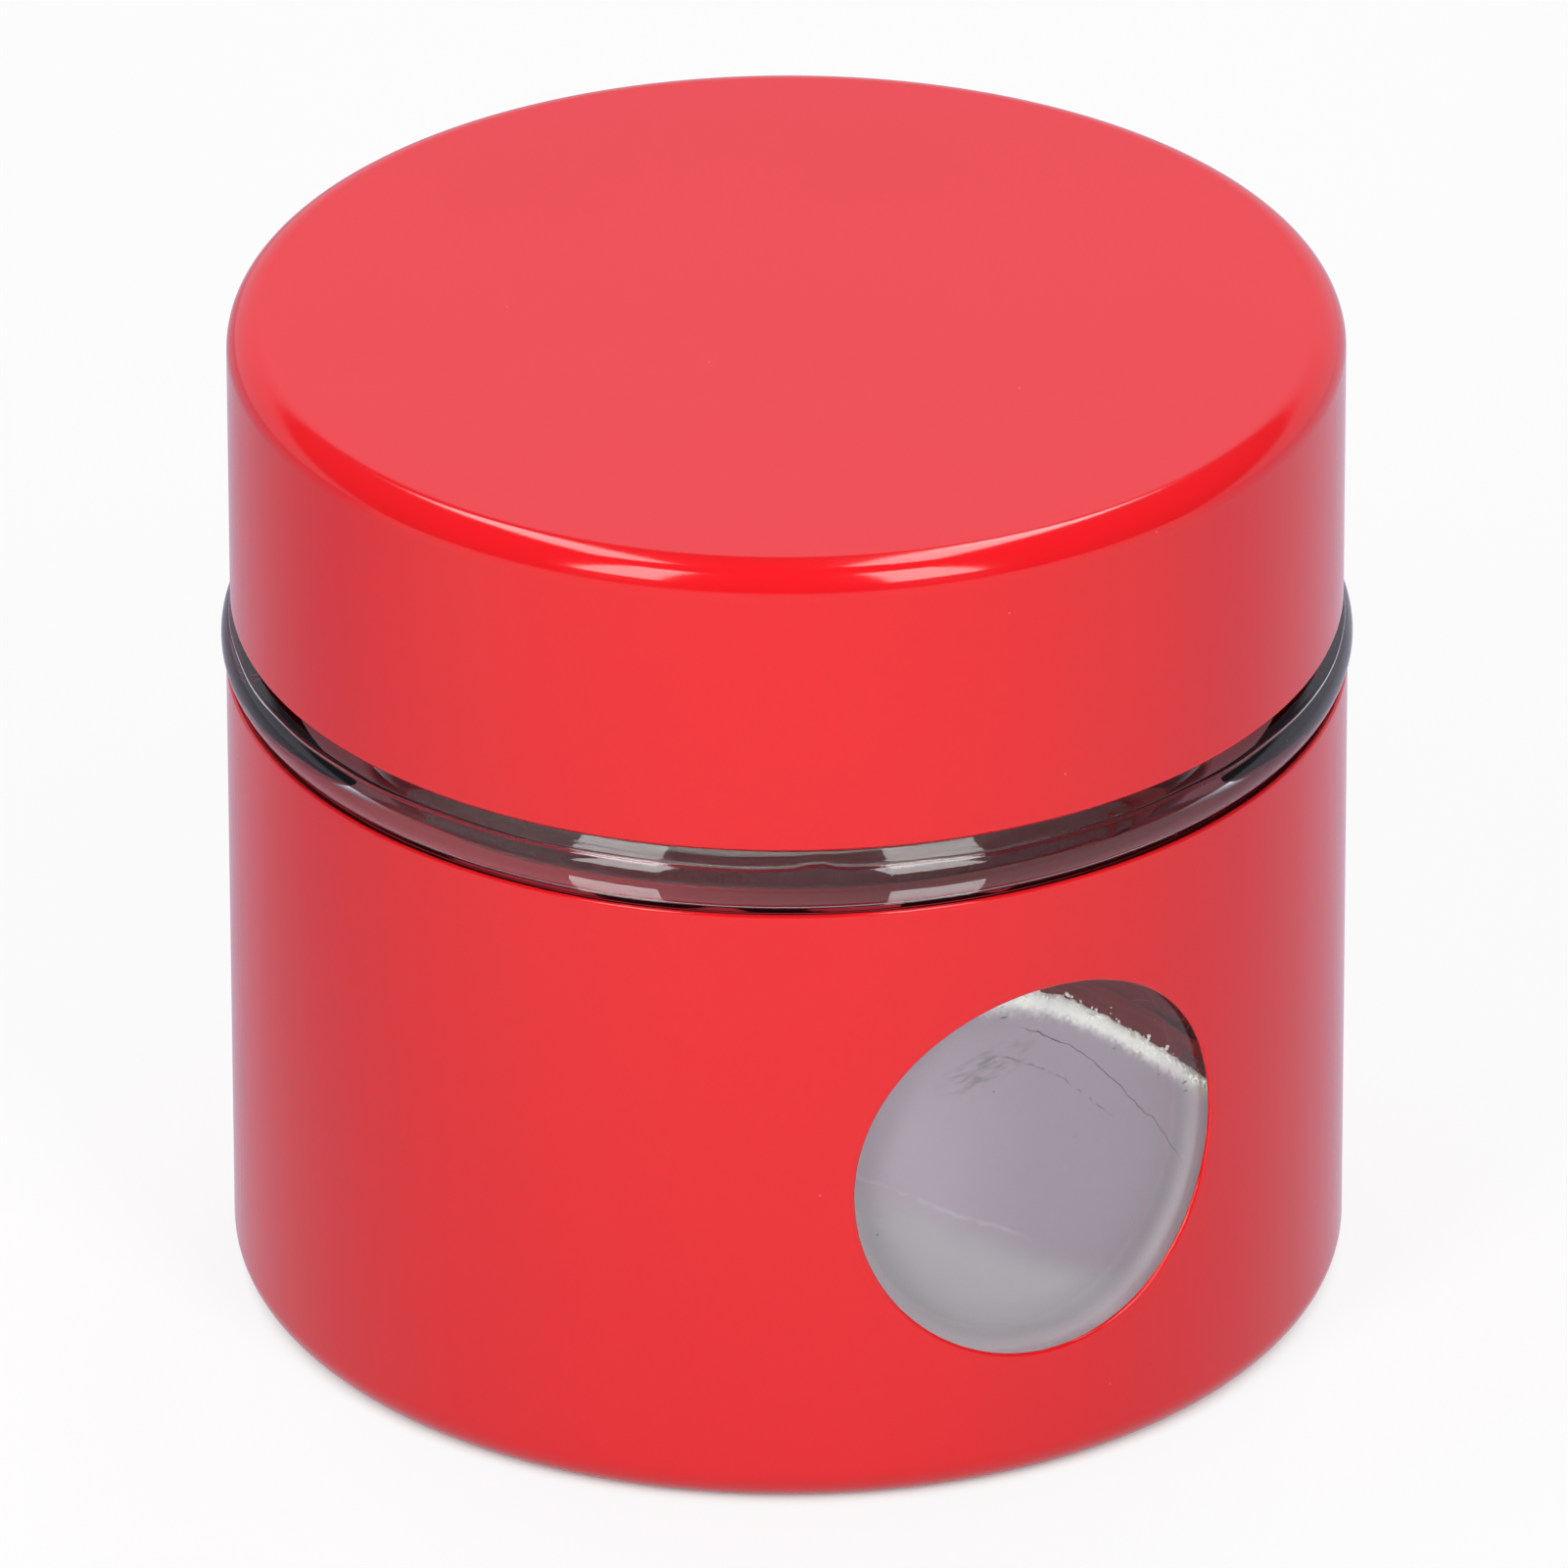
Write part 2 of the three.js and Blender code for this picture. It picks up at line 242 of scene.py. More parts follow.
bend = outline([(BODY_R, SLEEVE_TOP, 0), (BODY_R, 0, SLEEVE_BEND), (BODY_R - FLANGE_W, 0, 0)])[1:]
ring = [e for e in sleeve_bm.edges if e.is_boundary
        and all(abs(v.co.z - SLEEVE_BEND) < CLOSE for v in e.verts)]
for last, point in zip(bend, bend[1:]):
    grown = bmesh.ops.extrude_edge_only(sleeve_bm, edges=ring)["geom"]
    ring_verts = [g for g in grown if isinstance(g, bmesh.types.BMVert)]
    ring = [g for g in grown if isinstance(g, bmesh.types.BMEdge)]
    share = point.x / last.x
    bmesh.ops.scale(sleeve_bm, vec=(share, share, 1), verts=ring_verts)
    bmesh.ops.translate(sleeve_bm, vec=(0, 0, point.y - last.y), verts=ring_verts)
bmesh.ops.recalc_face_normals(sleeve_bm, faces=sleeve_bm.faces)
outward = sum(f.normal.dot(f.calc_center_median()) for f in sleeve_bm.faces)
if outward < 0:
    bmesh.ops.reverse_faces(sleeve_bm, faces=sleeve_bm.faces)
print("sleeve rolled,", sum(e.is_boundary for e in sleeve_bm.edges), "edges left open for the sheet's rims")

# %% [markdown]
# The sheet's thickness goes inward, so that the outside keeps its size. A small bevel on the cut rims
# stands for the paint that rounds them, and it is what catches the light as a bright line.

# %% Sleeve sheet
RIM_ROUND = 0.24 * MM
RIM_ANGLE = math.radians(50)
sleeve = piece(sleeve_bm, "sleeve", "jar", "body_sleeve")
thick = sleeve.modifiers.new("sheet", "SOLIDIFY")
thick.thickness = SHEET
thick.offset = -1
thick.use_even_offset = True
thick.material_offset = 1
soft = sleeve.modifiers.new("painted rims", "BEVEL")
soft.width = RIM_ROUND
soft.segments = 3
soft.limit_method = "ANGLE"
soft.angle_limit = RIM_ANGLE
even_normals(sleeve)
print("sheet", round(SHEET / MM, 2), "mm thick, its rims rounded by", round(RIM_ROUND / MM, 2), "mm")

# %% [markdown]
# ## The lid's shell
# The lid is drawn from one sheet: a flat top, a rounded edge, a straight wall, and a lower edge that is
# turned in to hold the screw cap. Its whole section, inside and outside, is turned at once.

# %% Lid shell
LID_BEND = 2.8 * MM
HEM_W = 1.7 * MM
HEM_R = 0.5 * MM
HEM_EDGE = 0.15 * MM
lid_section = [
    (0, LID_TOP, 0),
    (LID_R - 3 * LID_BEND, LID_TOP, 0),
    (LID_R, LID_TOP, LID_BEND),
    (LID_R, LID_LOW, HEM_R),
    (LID_R - HEM_W, LID_LOW, HEM_EDGE),
    (LID_R - HEM_W, LID_LOW + SHEET, HEM_EDGE),
    (LID_R - SHEET, LID_LOW + SHEET, 0),
    (LID_R - SHEET, LID_TOP - SHEET, LID_BEND - SHEET),
    (0, LID_TOP - SHEET, 0),
]
lid_shell = piece(turned(lid_section), "lid_steel", "lid", "lid_shell")
even_normals(lid_shell)

# %% [markdown]
# ## The glass jar
# The jar is pressed glass: a thick base with a hollow under its middle, a wall, a shoulder bead that stands
# a little past the sleeve and keeps it from sliding off, and a neck with a screw thread. The inside follows
# the bead a little, so that the glass stays about as thick there as in the wall. The mould for the neck
# meets the mould for the body on the bead, and leaves a fine raised seam there. The section gives all but
# the thread.

# %% Jar sizes
WALL = 3.6 * MM
JAR_FLOOR = 5 * MM
PUNT = 2 * MM
PUNT_LIFT = 0.02 * PUNT
PUNT_ROUND = 40 * MM
FOOT_W = 7.2 * MM
FOOT_ROUND = 2 * MM
HEEL = 4 * MM
HEEL_IN = 5 * MM
BEAD_R = 2.55 * MM
BEAD_GAP = 0.8 * MM
NECK_SET = 7.2 * MM
NECK_WALL = 3.2 * MM
NECK_ROOT = 2 * MM
RIM_R = 1.4 * MM
SHOULDER_T = 2.2 * MM
SHOULDER_R = 3 * MM
SHOULDER_SLOPE = 0.6 * MM
HOLLOW = 1.6 * MM
HOLLOW_H = 2.6 * MM
HOLLOW_RUN = 2.6 * MM
HOLLOW_EDGE = 1 * MM
HOLLOW_FOOT = 3 * MM

INSIDE_R = GLASS_R - WALL
NECK_R = GLASS_R - NECK_SET
MOUTH_R = NECK_R - NECK_WALL
FLOOR_Z = jar_low.z + JAR_FLOOR
bead_mid_r = jar_high.x - BEAD_R
bead_mid_z = LID_LOW - BEAD_GAP - BEAD_R
bead_start = -math.degrees(math.acos((GLASS_R - bead_mid_r) / BEAD_R))
shoulder_z = LID_LOW - BEAD_GAP + SHOULDER_SLOPE
under_shoulder = shoulder_z - SHOULDER_T
foot_r = GLASS_R - HEEL - FOOT_W
neck_low = shoulder_z + NECK_ROOT
neck_high = RIM_Z - RIM_R
print("jar inside radius", round(INSIDE_R, 5), "mouth radius", round(MOUTH_R, 5))

# %% Jar section
NECK_ROWS = 64
BEAD_FACET = math.radians(3)
SEAM_AT = 46
SEAM_HALF = 4
SEAM_H = 0.09 * MM
SEAM_ROUND = 0.3 * MM
seam_r = bead_mid_r + (BEAD_R + SEAM_H) * math.cos(math.radians(SEAM_AT))
seam_z = bead_mid_z + (BEAD_R + SEAM_H) * math.sin(math.radians(SEAM_AT))

jar_section = [
    (0, jar_low.z + PUNT, 0),
    (foot_r, jar_low.z + PUNT_LIFT, PUNT_ROUND),
    (foot_r + FOOT_ROUND, jar_low.z, 0),
    (GLASS_R, jar_low.z, HEEL),
    *arc(bead_mid_r, bead_mid_z, BEAD_R, bead_start, SEAM_AT - SEAM_HALF, BEAD_FACET),
    (seam_r, seam_z, SEAM_ROUND),
    *arc(bead_mid_r, bead_mid_z, BEAD_R, SEAM_AT + SEAM_HALF, 90, BEAD_FACET),
    (NECK_R, shoulder_z, NECK_ROOT),
    *rows((NECK_R, neck_low), (NECK_R, neck_high), NECK_ROWS),
    (NECK_R, RIM_Z, RIM_R),
    (MOUTH_R, RIM_Z, RIM_R),
    (MOUTH_R, under_shoulder, SHOULDER_R),
    (INSIDE_R + HOLLOW, under_shoulder, HOLLOW),
    (INSIDE_R + HOLLOW, under_shoulder - HOLLOW_H, HOLLOW_EDGE),
    (INSIDE_R, under_shoulder - HOLLOW_H - HOLLOW_RUN, HOLLOW_FOOT),
    (INSIDE_R, FLOOR_Z, HEEL_IN),
    (0, FLOOR_Z, 0),
]
jar_bm = turned(jar_section)
print("jar section has", len(jar_section), "corners")

# %% [markdown]
# The seam isn't a perfect circle. Where the moulds have worn it wanders up and down the bead, and there is
# a blister where the halves of the body mould meet. So the points near it are turned along the bead a
# little.

# %% Mould seam
SEAM_WANDER = 5
WANDER_WAVES = 5
SEAM_LOW = 15
SEAM_HIGH = 88
SEAM_FADE = 25
BLISTER = 9
BLISTER_AT = -114.6
BLISTER_W = 1.6


def smooth(x):
    """A soft step from 0 to 1."""
    x = min(1, max(0, x))
    return x * x * (3 - 2 * x)


shifted = 0
for v in jar_bm.verts:
    r = math.hypot(v.co.x, v.co.y)
    spoke = Vector((r - bead_mid_r, v.co.z - bead_mid_z))
    if abs(spoke.length - BEAD_R) > 2 * SEAM_H or spoke.x < 0:
        continue
    turn = math.degrees(math.atan2(spoke.y, spoke.x))
    share = smooth((turn - SEAM_LOW) / SEAM_FADE) * smooth((SEAM_HIGH - turn) / SEAM_FADE)
    around = math.degrees(math.atan2(v.co.y, v.co.x))
    wander = SEAM_WANDER * noise.noise(Vector((v.co.x, v.co.y, 0)).normalized() * WANDER_WAVES)
    blister = BLISTER * math.exp(-(((around - BLISTER_AT) / BLISTER_W) ** 2))
    spoke = Matrix.Rotation(math.radians(share * (wander + blister)), 2) @ spoke
    grow = (bead_mid_r + spoke.x) / r
    v.co = (v.co.x * grow, v.co.y * grow, bead_mid_z + spoke.y)
    shifted += share > 0
print("seam points shifted", shifted)

# %% [markdown]
# ## The screw thread
# The neck carries four short ridges that each climb a little over a fifth of a turn. They could be modelled
# as bars and joined by a boolean, but glass flows: its ridges swell out of the neck with soft edges. So the
# neck has close rows of points, and each point is pushed out by a smooth formula of its angle and height.

# %% Thread ridges
STARTS = 4
LEAD = 18 * MM
RIDGE_H = 1.4 * MM
RIDGE_DROP = 9.5 * MM
RIDGE_SPAN = 75
RUN_OUT = 12
RIDGE_FOOT = 1.1 * MM
RIDGE_CREST = 0.45 * MM
ON_WALL = 0.02 * MM
ridge_z = RIM_Z - RIDGE_DROP


def ridge_share(co, first_z, first_angle, span):
    """How much of a ridge's height there is at a point, for ridges that climb with the thread's lead."""
    along = (math.degrees(math.atan2(co.y, co.x)) - first_angle) % (360 / STARTS)
    across = abs(co.z - first_z - LEAD * along / 360)
    ends = smooth(along / RUN_OUT) * smooth((span - along) / RUN_OUT)
    return ends * smooth((RIDGE_FOOT - across) / (RIDGE_FOOT - RIDGE_CREST))


def swell(bm, wall_r, height, first_z, first_angle, span):
    """Pushes a round wall's points out along the thread's ridges, or in where the height is negative."""
    moved = 0
    for v in bm.verts:
        r = math.hypot(v.co.x, v.co.y)
        if abs(r - wall_r) > ON_WALL:
            continue
        grow = 1 + height * ridge_share(v.co, first_z, first_angle, span) / r
        moved += grow != 1
        v.co.x *= grow
        v.co.y *= grow
    print("thread moved", moved, "points")


swell(jar_bm, NECK_R, RIDGE_H, ridge_z, 0, RIDGE_SPAN)
glass_jar = piece(jar_bm, "jar_glass", "jar", "glass_jar")
even_normals(glass_jar)

# %% [markdown]
# ## The screw cap inside the lid
# A moulded plastic cap is pressed into the steel shell. Its skirt carries lugs that hook under the jar's
# ridges, a flange closes the gap to the shell at the bottom, thin ribs keep it centred, and a ring on top
# holds up the lid's flat sheet. The lugs are made as the ridges were, only inward.

# %% Cap section
insert_low, insert_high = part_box("lid_insert")
seal_low, seal_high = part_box("lid_seal")
SKIRT_WALL = 1.8 * MM
FLANGE_H = 1.5 * MM
PLATE = 1.6 * MM
PROP_R = 32 * MM
PROP_W = 1.6 * MM
LIP_H = 1.4 * MM
LIP_W = 1 * MM
FIT = 0.3 * MM
THREAD_PLAY = 0.4 * MM
EDGE = 0.25 * MM
skirt_r = NECK_R + RIDGE_H + THREAD_PLAY
skirt_out = skirt_r + SKIRT_WALL
plate_low = seal_high.z + FIT
plate_high = plate_low + PLATE
lip_r = MOUTH_R - FIT
SKIRT_ROWS = 72
SKIRT_END = 1 * MM

cap_section = [
    (0, plate_low, 0),
    (lip_r - LIP_W, plate_low, 0),
    (lip_r - LIP_W, plate_low - LIP_H, EDGE),
    (lip_r, plate_low - LIP_H, EDGE),
    (lip_r, plate_low, 0),
    (skirt_r, plate_low, EDGE),
    *rows((skirt_r, plate_low - SKIRT_END), (skirt_r, insert_low.z + SKIRT_END), SKIRT_ROWS),
    (skirt_r, insert_low.z, EDGE),
    (insert_high.x, insert_low.z, EDGE),
    (insert_high.x, insert_low.z + FLANGE_H, EDGE),
    (skirt_out, insert_low.z + FLANGE_H, 0),
    (skirt_out, insert_low.z + FLANGE_H + EDGE, 0),
    (skirt_out, plate_high - 2 * EDGE, 0),
    (skirt_out, plate_high, EDGE),
    (PROP_R, plate_high, 0),
    (PROP_R, insert_high.z, EDGE),
    (PROP_R - PROP_W, insert_high.z, EDGE),
    (PROP_R - PROP_W, plate_high, 0),
    (0, plate_high, 0),
]
cap_bm = turned(cap_section)
print("cap section has", len(cap_section), "corners")

# %% [markdown]
# The lugs swell inward along the thread, just under the jar's ridges. A rib could be a bar of its own, but
# then it would have to be joined to the skirt. So each rib starts as one tall face of the skirt, which is
# extruded and pulled out until it nearly touches the steel shell.

# %% Lugs and ribs of the cap
LUG_SPAN = 45
LUG_START = 12
LUG_UNDER = 1.9 * MM
RIBS = 12
RIB_TALL = 5 * MM
RIB_PLAY = 0.1 * MM
ON_SKIRT = 0.05 * MM
lug_z = ridge_z - LUG_UNDER + LEAD * LUG_START / 360
swell(cap_bm, skirt_r, NECK_R + THREAD_PLAY - skirt_r, lug_z, LUG_START, LUG_SPAN)

rib_step = 360 / RIBS
column = 360 / TURN_STEPS
rib_faces = []
for f in cap_bm.faces:
    middle = f.calc_center_median()
    on_skirt = abs(math.hypot(middle.x, middle.y) - skirt_out) < ON_SKIRT
    tall = max(v.co.z for v in f.verts) - min(v.co.z for v in f.verts) > RIB_TALL
    off = (math.degrees(math.atan2(middle.y, middle.x)) + column / 2) % rib_step
    if on_skirt and tall and off < column:
        rib_faces.append(f)
ribs = bmesh.ops.extrude_discrete_faces(cap_bm, faces=rib_faces)["faces"]
for f in ribs:
    middle = f.calc_center_median()
    outward = Vector((middle.x, middle.y, 0)).normalized()
    bmesh.ops.translate(cap_bm, vec=outward * (insert_high.x - skirt_out - RIB_PLAY), verts=f.verts)
lid_cap = piece(cap_bm, "lid_cap", "lid", "lid_insert")
even_normals(lid_cap)
print("ribs", len(ribs))

# %% [markdown]
# ## The sealing ring
# A soft ring lies against the cap's plate and closes on the jar's rim. Its edges are well rounded, as on
# any moulded rubber, and two shallow grooves in its lower face are what bite on the glass.

# %% Sealing ring
seal_mid = (lip_r + FIT + seal_high.x) / 2
GROOVE = 0.7 * MM
GROOVE_DEEP = 0.25 * MM
GROOVE_EDGE = 0.15 * MM
SEAL_EDGE = 0.4 * MM
seal_section = [
    (lip_r + FIT, seal_low.z, SEAL_EDGE),
    (seal_mid - 2 * GROOVE, seal_low.z, GROOVE_EDGE),
    (seal_mid - 1.5 * GROOVE, seal_low.z + GROOVE_DEEP, GROOVE_EDGE),
    (seal_mid - GROOVE / 2, seal_low.z, GROOVE_EDGE),
    (seal_mid + GROOVE / 2, seal_low.z, GROOVE_EDGE),
    (seal_mid + 1.5 * GROOVE, seal_low.z + GROOVE_DEEP, GROOVE_EDGE),
    (seal_mid + 2 * GROOVE, seal_low.z, GROOVE_EDGE),
    (seal_high.x, seal_low.z, SEAL_EDGE),
    (seal_high.x, seal_high.z, SEAL_EDGE),
    (lip_r + FIT, seal_high.z, SEAL_EDGE),
]
seal_ring = piece(turned(seal_section, closed=True), "seal_ring", "seal", "lid_seal")
even_normals(seal_ring)

# %% [markdown]
# ## The powder
# The fine powder has slumped to the front left. Its surface falls away towards the back right, runs out
# into a flatter foot and leaves a strip of the jar's floor bare. The heap is turned like the jar's inside,
# as an underside, a wall and a top that share their rings. Then the top is lowered to the slope. Where that
# would go through the underside there is no powder, so those faces are taken out, and the two skins are
# merged along the heap's edge.

# %% Powder block
powder_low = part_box("powder_fill")[0]
POWDER_R = INSIDE_R - FIT
POWDER_HEEL = HEEL_IN - FIT
FILL_UNDER = 13.9 * MM
FILL_TOP = under_shoulder - FILL_UNDER
FILL_TURN = math.radians(45)
FILL_START = -30.7 * MM
FILL_FOOT = 2 * MM
FILL_SOFT = 1.5 * MM
FILL_SLOPE = 1.03
FOOT_SLOPE = 0.25
fall_way = Vector((math.cos(FILL_TURN), math.sin(FILL_TURN)))
wall_low = powder_low.z + POWDER_HEEL
POWDER_STEPS = 840
WALL_ROWS = 46
TOP_RINGS = 26
AT_WALL = 0.001 * MM
BARE = 0.02 * MM


def climb_from(bend, along):
    """A line that is flat up to the bend and then climbs one to one."""
    return FILL_SOFT * math.log(1 + math.exp((along - bend) / FILL_SOFT))


def slope_top(x, y):
    """Height of the heap, which falls along one way across the jar and runs out into a flatter foot."""
    along = x * fall_way.x + y * fall_way.y
    flatter = (FILL_SLOPE - FOOT_SLOPE) * climb_from(FILL_FOOT, along)
    return FILL_TOP - FILL_SLOPE * climb_from(FILL_START, along) + flatter


def underside(r):
    """Height of the powder's underside: flat, and then up round the jar's heel."""
    past = max(0, r - POWDER_R + POWDER_HEEL)
    if past > POWDER_HEEL - AT_WALL:
        return wall_low
    return wall_low - math.sqrt(POWDER_HEEL ** 2 - past ** 2)


def is_bare(co):
    """Whether the slope is down at the underside, so that there is no powder."""
    return slope_top(co.x, co.y) < underside(math.hypot(co.x, co.y)) + BARE


ring_r = [POWDER_R * k / TOP_RINGS for k in range(TOP_RINGS + 1)]
powder_section = [
    *[(r, underside(r), 0) for r in ring_r],
    *rows((POWDER_R, wall_low), (POWDER_R, FILL_TOP), WALL_ROWS)[1:],
    *[(r, FILL_TOP, 0) for r in reversed(ring_r)],
]
powder_bm = turned(powder_section, steps=POWDER_STEPS)
bare_faces = [f for f in powder_bm.faces if all(is_bare(v.co) for v in f.verts)]
bmesh.ops.delete(powder_bm, geom=bare_faces, context="FACES")
print("powder block has", len(powder_bm.verts), "points")

# %% [markdown]
# Against the glass the powder is pressed smooth, and only its upper edge is loose: there it draws back from
# the wall and breaks into crumbs. Blender's noise gives the crumbs, lumps of about two millimetres with
# finer ones on them, and the same point always gets the same noise. How loose the powder is at each point
# is stored with the mesh, because its colour depends on it later.

# %% Powder surface
CREST_DEEP = 3.4 * MM
CREST_BACK = 0.4 * MM
LUMP = 2.4 * MM
CRUMB = 0.9 * MM
GRANULE = 0.45 * MM
CROWD = 1.7
EDGE_W = 3 * MM
THIN = 3 * MM
CRUMB_H = 0.9 * MM
CRUMB_SINK = 0.2
CRUMB_IN = 0.55 * MM
FINE_MERGE = 1e-7
loose_layer = powder_bm.verts.layers.float.new("loose")


def crumbs(co):
    """Roughness of the loose powder at a point, from about -1 to 1."""
    return 0.7 * noise.noise(co / LUMP) + 0.6 * noise.noise(co / CRUMB) + 0.5 * noise.noise(co / GRANULE)


for v in powder_bm.verts:
    r = math.hypot(v.co.x, v.co.y)
    low = underside(r)
    top = low if is_bare(v.co) else slope_top(v.co.x, v.co.y)
    if v.co.z < low + CLOSE:
        continue
    up = min(1, (v.co.z - low) / (FILL_TOP - low))
    on_top = v.co.z > FILL_TOP - CLOSE
    v.co.z = low + (1 - (1 - up) ** CROWD) * (top - low)
    depth = top - v.co.z
    loose = 1 if on_top else smooth(1 - depth / CREST_DEEP)
    edge = smooth((r - (POWDER_R - EDGE_W)) / EDGE_W)
    bulk = smooth((top - low) / THIN)
    rough = crumbs(v.co)
    if on_top:
        v.co.z += (rough - CRUMB_SINK) * CRUMB_H * (0.4 + 0.6 * edge) * bulk
    back = loose * edge * bulk * (CREST_BACK * (0.4 + 0.6 * loose) + CRUMB_IN * rough)
    share = (r - max(0, back)) / r if r > 0 else 1
    v.co.x *= share
    v.co.y *= share
    v[loose_layer] = loose
bmesh.ops.remove_doubles(powder_bm, verts=powder_bm.verts, dist=FINE_MERGE)
bmesh.ops.recalc_face_normals(powder_bm, faces=powder_bm.faces)
print("powder surface has", len(powder_bm.faces), "faces")

# %% [markdown]
# Along the crest some of the powder has clumped into granules. Each is a small rough ball that is half sunk
# in the heap, a fixed seed puts them in the same places each time, and most of them lie where the heap
# meets the glass, because that is where they roll to.

# %% Granules
GRANULES = 1600
GRANULE_FROM = math.radians(-150)
GRANULE_TO = math.radians(-45)
GRANULE_SEED = 7
GRANULE_LEAST = 0.08 * MM
GRANULE_MORE = 0.17 * MM
GRANULE_IN = 1.6 * MM
GRANULE_LIFT = 0.5 * MM
dice = random.Random(GRANULE_SEED)
granule_bm = bmesh.new()
for _ in range(GRANULES):
    angle = dice.uniform(GRANULE_FROM, GRANULE_TO)
    size = GRANULE_LEAST + GRANULE_MORE * dice.random() ** 2
    r = POWDER_R - size - dice.random() ** 2 * GRANULE_IN
    place = Vector((r * math.cos(angle), r * math.sin(angle), 0))
    lift = dice.gauss(-1, 1) + noise.noise(place / CRUMB)
    place.z = slope_top(place.x, place.y) + lift * GRANULE_LIFT
    turn = Quaternion((dice.random(), dice.random(), dice.random()), dice.uniform(0, 6))
    shape = Matrix.Diagonal((1, dice.uniform(0.7, 1), dice.uniform(0.6, 0.9), 1))
    bmesh.ops.create_icosphere(granule_bm, subdivisions=1, radius=size,
                               matrix=Matrix.Translation(place) @ turn.to_matrix().to_4x4() @ shape)
for f in granule_bm.faces:
    f.material_index = 1
granule_mesh = bpy.data.meshes.new("granules")
granule_bm.to_mesh(granule_mesh)
granule_bm.free()
powder_bm.from_mesh(granule_mesh)
bpy.data.meshes.remove(granule_mesh)
powder = piece(powder_bm, "powder", "jar", "powder_fill")

# %% [markdown]
# ## Writing shader maths as sums
# A material is a tree of nodes, and its maths soon becomes hard to read as a list of links. So one small
# class wraps a socket and turns a sum or product in Python into the Math node that does it. Every other
# node comes from one method, which sets the node's own settings first and then its sockets.

# %% Socket and finish helpers


def forms(operation):
    """The two forms of an operator: the socket first, and reflected, with the socket second."""

    def plain(self, other):
        return self.finish.node("ShaderNodeMath", {"operation": operation}, {0: self, 1: other})

    def reflected(self, other):
        return self.finish.node("ShaderNodeMath", {"operation": operation}, {0: other, 1: self})

    return plain, reflected


class Socket:
    """An output of a node that can stand in sums."""

    def __init__(self, finish, out):
        self.finish = finish
        self.out = out

    __add__, __radd__ = forms("ADD")
    __sub__, __rsub__ = forms("SUBTRACT")
    __mul__, __rmul__ = forms("MULTIPLY")
    __truediv__, __rtruediv__ = forms("DIVIDE")
    __pow__, __rpow__ = forms("POWER")
    __lt__, __gt__ = forms("LESS_THAN")


class Finish:
    """A node tree in the making, with the one method that adds its nodes."""

    def __init__(self, owner):
        owner.use_nodes = True
        self.owner = owner
        self.tree = owner.node_tree
        self.tree.nodes.clear()

    def node(self, kind, settings=None, sockets=None, out=0):
        made = self.tree.nodes.new(kind)
        for name, value in (settings or {}).items():
            setattr(made, name, value)
        for name, value in (sockets or {}).items():
            if isinstance(value, Socket):
                self.tree.links.new(value.out, made.inputs[name])
            else:
                made.inputs[name].default_value = value
        return Socket(self, made.outputs[out]) if len(made.outputs) else made


print("finish helpers ready")

# %% [markdown]
# A few patterns come back in most finishes: a place on the piece and its three coordinates, noise of a
# given grain, a soft threshold, sparse specks, a mix of two colours and a bump. Grain sizes are given in
# metres, as lengths on the real surface.

# %% Pattern helpers


def spot(finish):
    """The place on the piece, in metres."""
    return finish.node("ShaderNodeTexCoord", out="Object")


def place_parts(finish, place):
    """The three coordinates of a place."""
    parts = finish.node("ShaderNodeSeparateXYZ", None, {"Vector": place}, out="X")
    return [Socket(finish, parts.out.node.outputs[i]) for i in range(3)]


def grain(finish, place, size, detail):
    """Noise from 0 to 1 whose lumps are about the given size."""
    return finish.node("ShaderNodeTexNoise", None, {"Vector": place, "Scale": 1 / size, "Detail": detail})


def soft_step(finish, value, low, high):
    """0 below low, 1 above high and smooth between."""
    return finish.node("ShaderNodeMapRange", {"interpolation_type": "SMOOTHSTEP"},
                       {"Value": value, "From Min": low, "From Max": high})


def specks(finish, place, spacing, size, share):
    """Sparse round dots: one in some of the cells of the given spacing."""
    sockets = {"Vector": place, "Scale": 1 / spacing}
    far = finish.node("ShaderNodeTexVoronoi", None, sockets, out="Distance")
    pick = finish.node("ShaderNodeTexVoronoi", None, sockets, out="Color")
    lucky = finish.node("ShaderNodeSeparateColor", None, {"Color": pick}, out="Red") < share
    return soft_step(finish, far, size / spacing, 0.5 * size / spacing) * lucky


def blend(finish, share, first, second):
    """A mix of two colours."""
    return finish.node("ShaderNodeMix", {"data_type": "RGBA"}, {0: share, 6: first, 7: second}, out=2)


def bump(finish, height, distance):
    """A normal from a height of 0 to 1 over the given real depth."""
    return finish.node("ShaderNodeBump", None, {"Height": height, "Distance": distance, "Strength": 1.0})


def principled(finish, sockets):
    """The surface of the material."""
    shader = finish.node("ShaderNodeBsdfPrincipled", None, sockets)
    finish.node("ShaderNodeOutputMaterial", None, {"Surface": shader})
    return finish.owner


print("pattern helpers ready")

# %% [markdown]
# Two finishes change round the window: the sleeve's inner coat and the powder behind it. A mask could be
# stored with each mesh, but the distance from the window's middle, measured along the rolled sheet, does
# for both.

# %% Window distance


def window_distance(finish, x, y, z):
    """Distance from the middle of the window, measured along the sheet."""
    round_way = finish.node("ShaderNodeMath", {"operation": "ARCTAN2"}, {0: x, 1: 0 - y}) * BODY_R
    return (round_way * round_way + (z - WINDOW_Z) * (z - WINDOW_Z)) ** 0.5


print("window", round(2 * WINDOW_R / MM, 1), "mm across, its middle", round(WINDOW_Z / MM, 1), "mm up")

# %% [markdown]
# ## Red paint
# A glossy stoved enamel. Close up it isn't perfectly flat: it has a faint orange peel, a few dust nibs that
# were caught in the wet coat, and its depth of colour drifts a little. The gloss itself comes from the
# shader's reflection of the lamps.

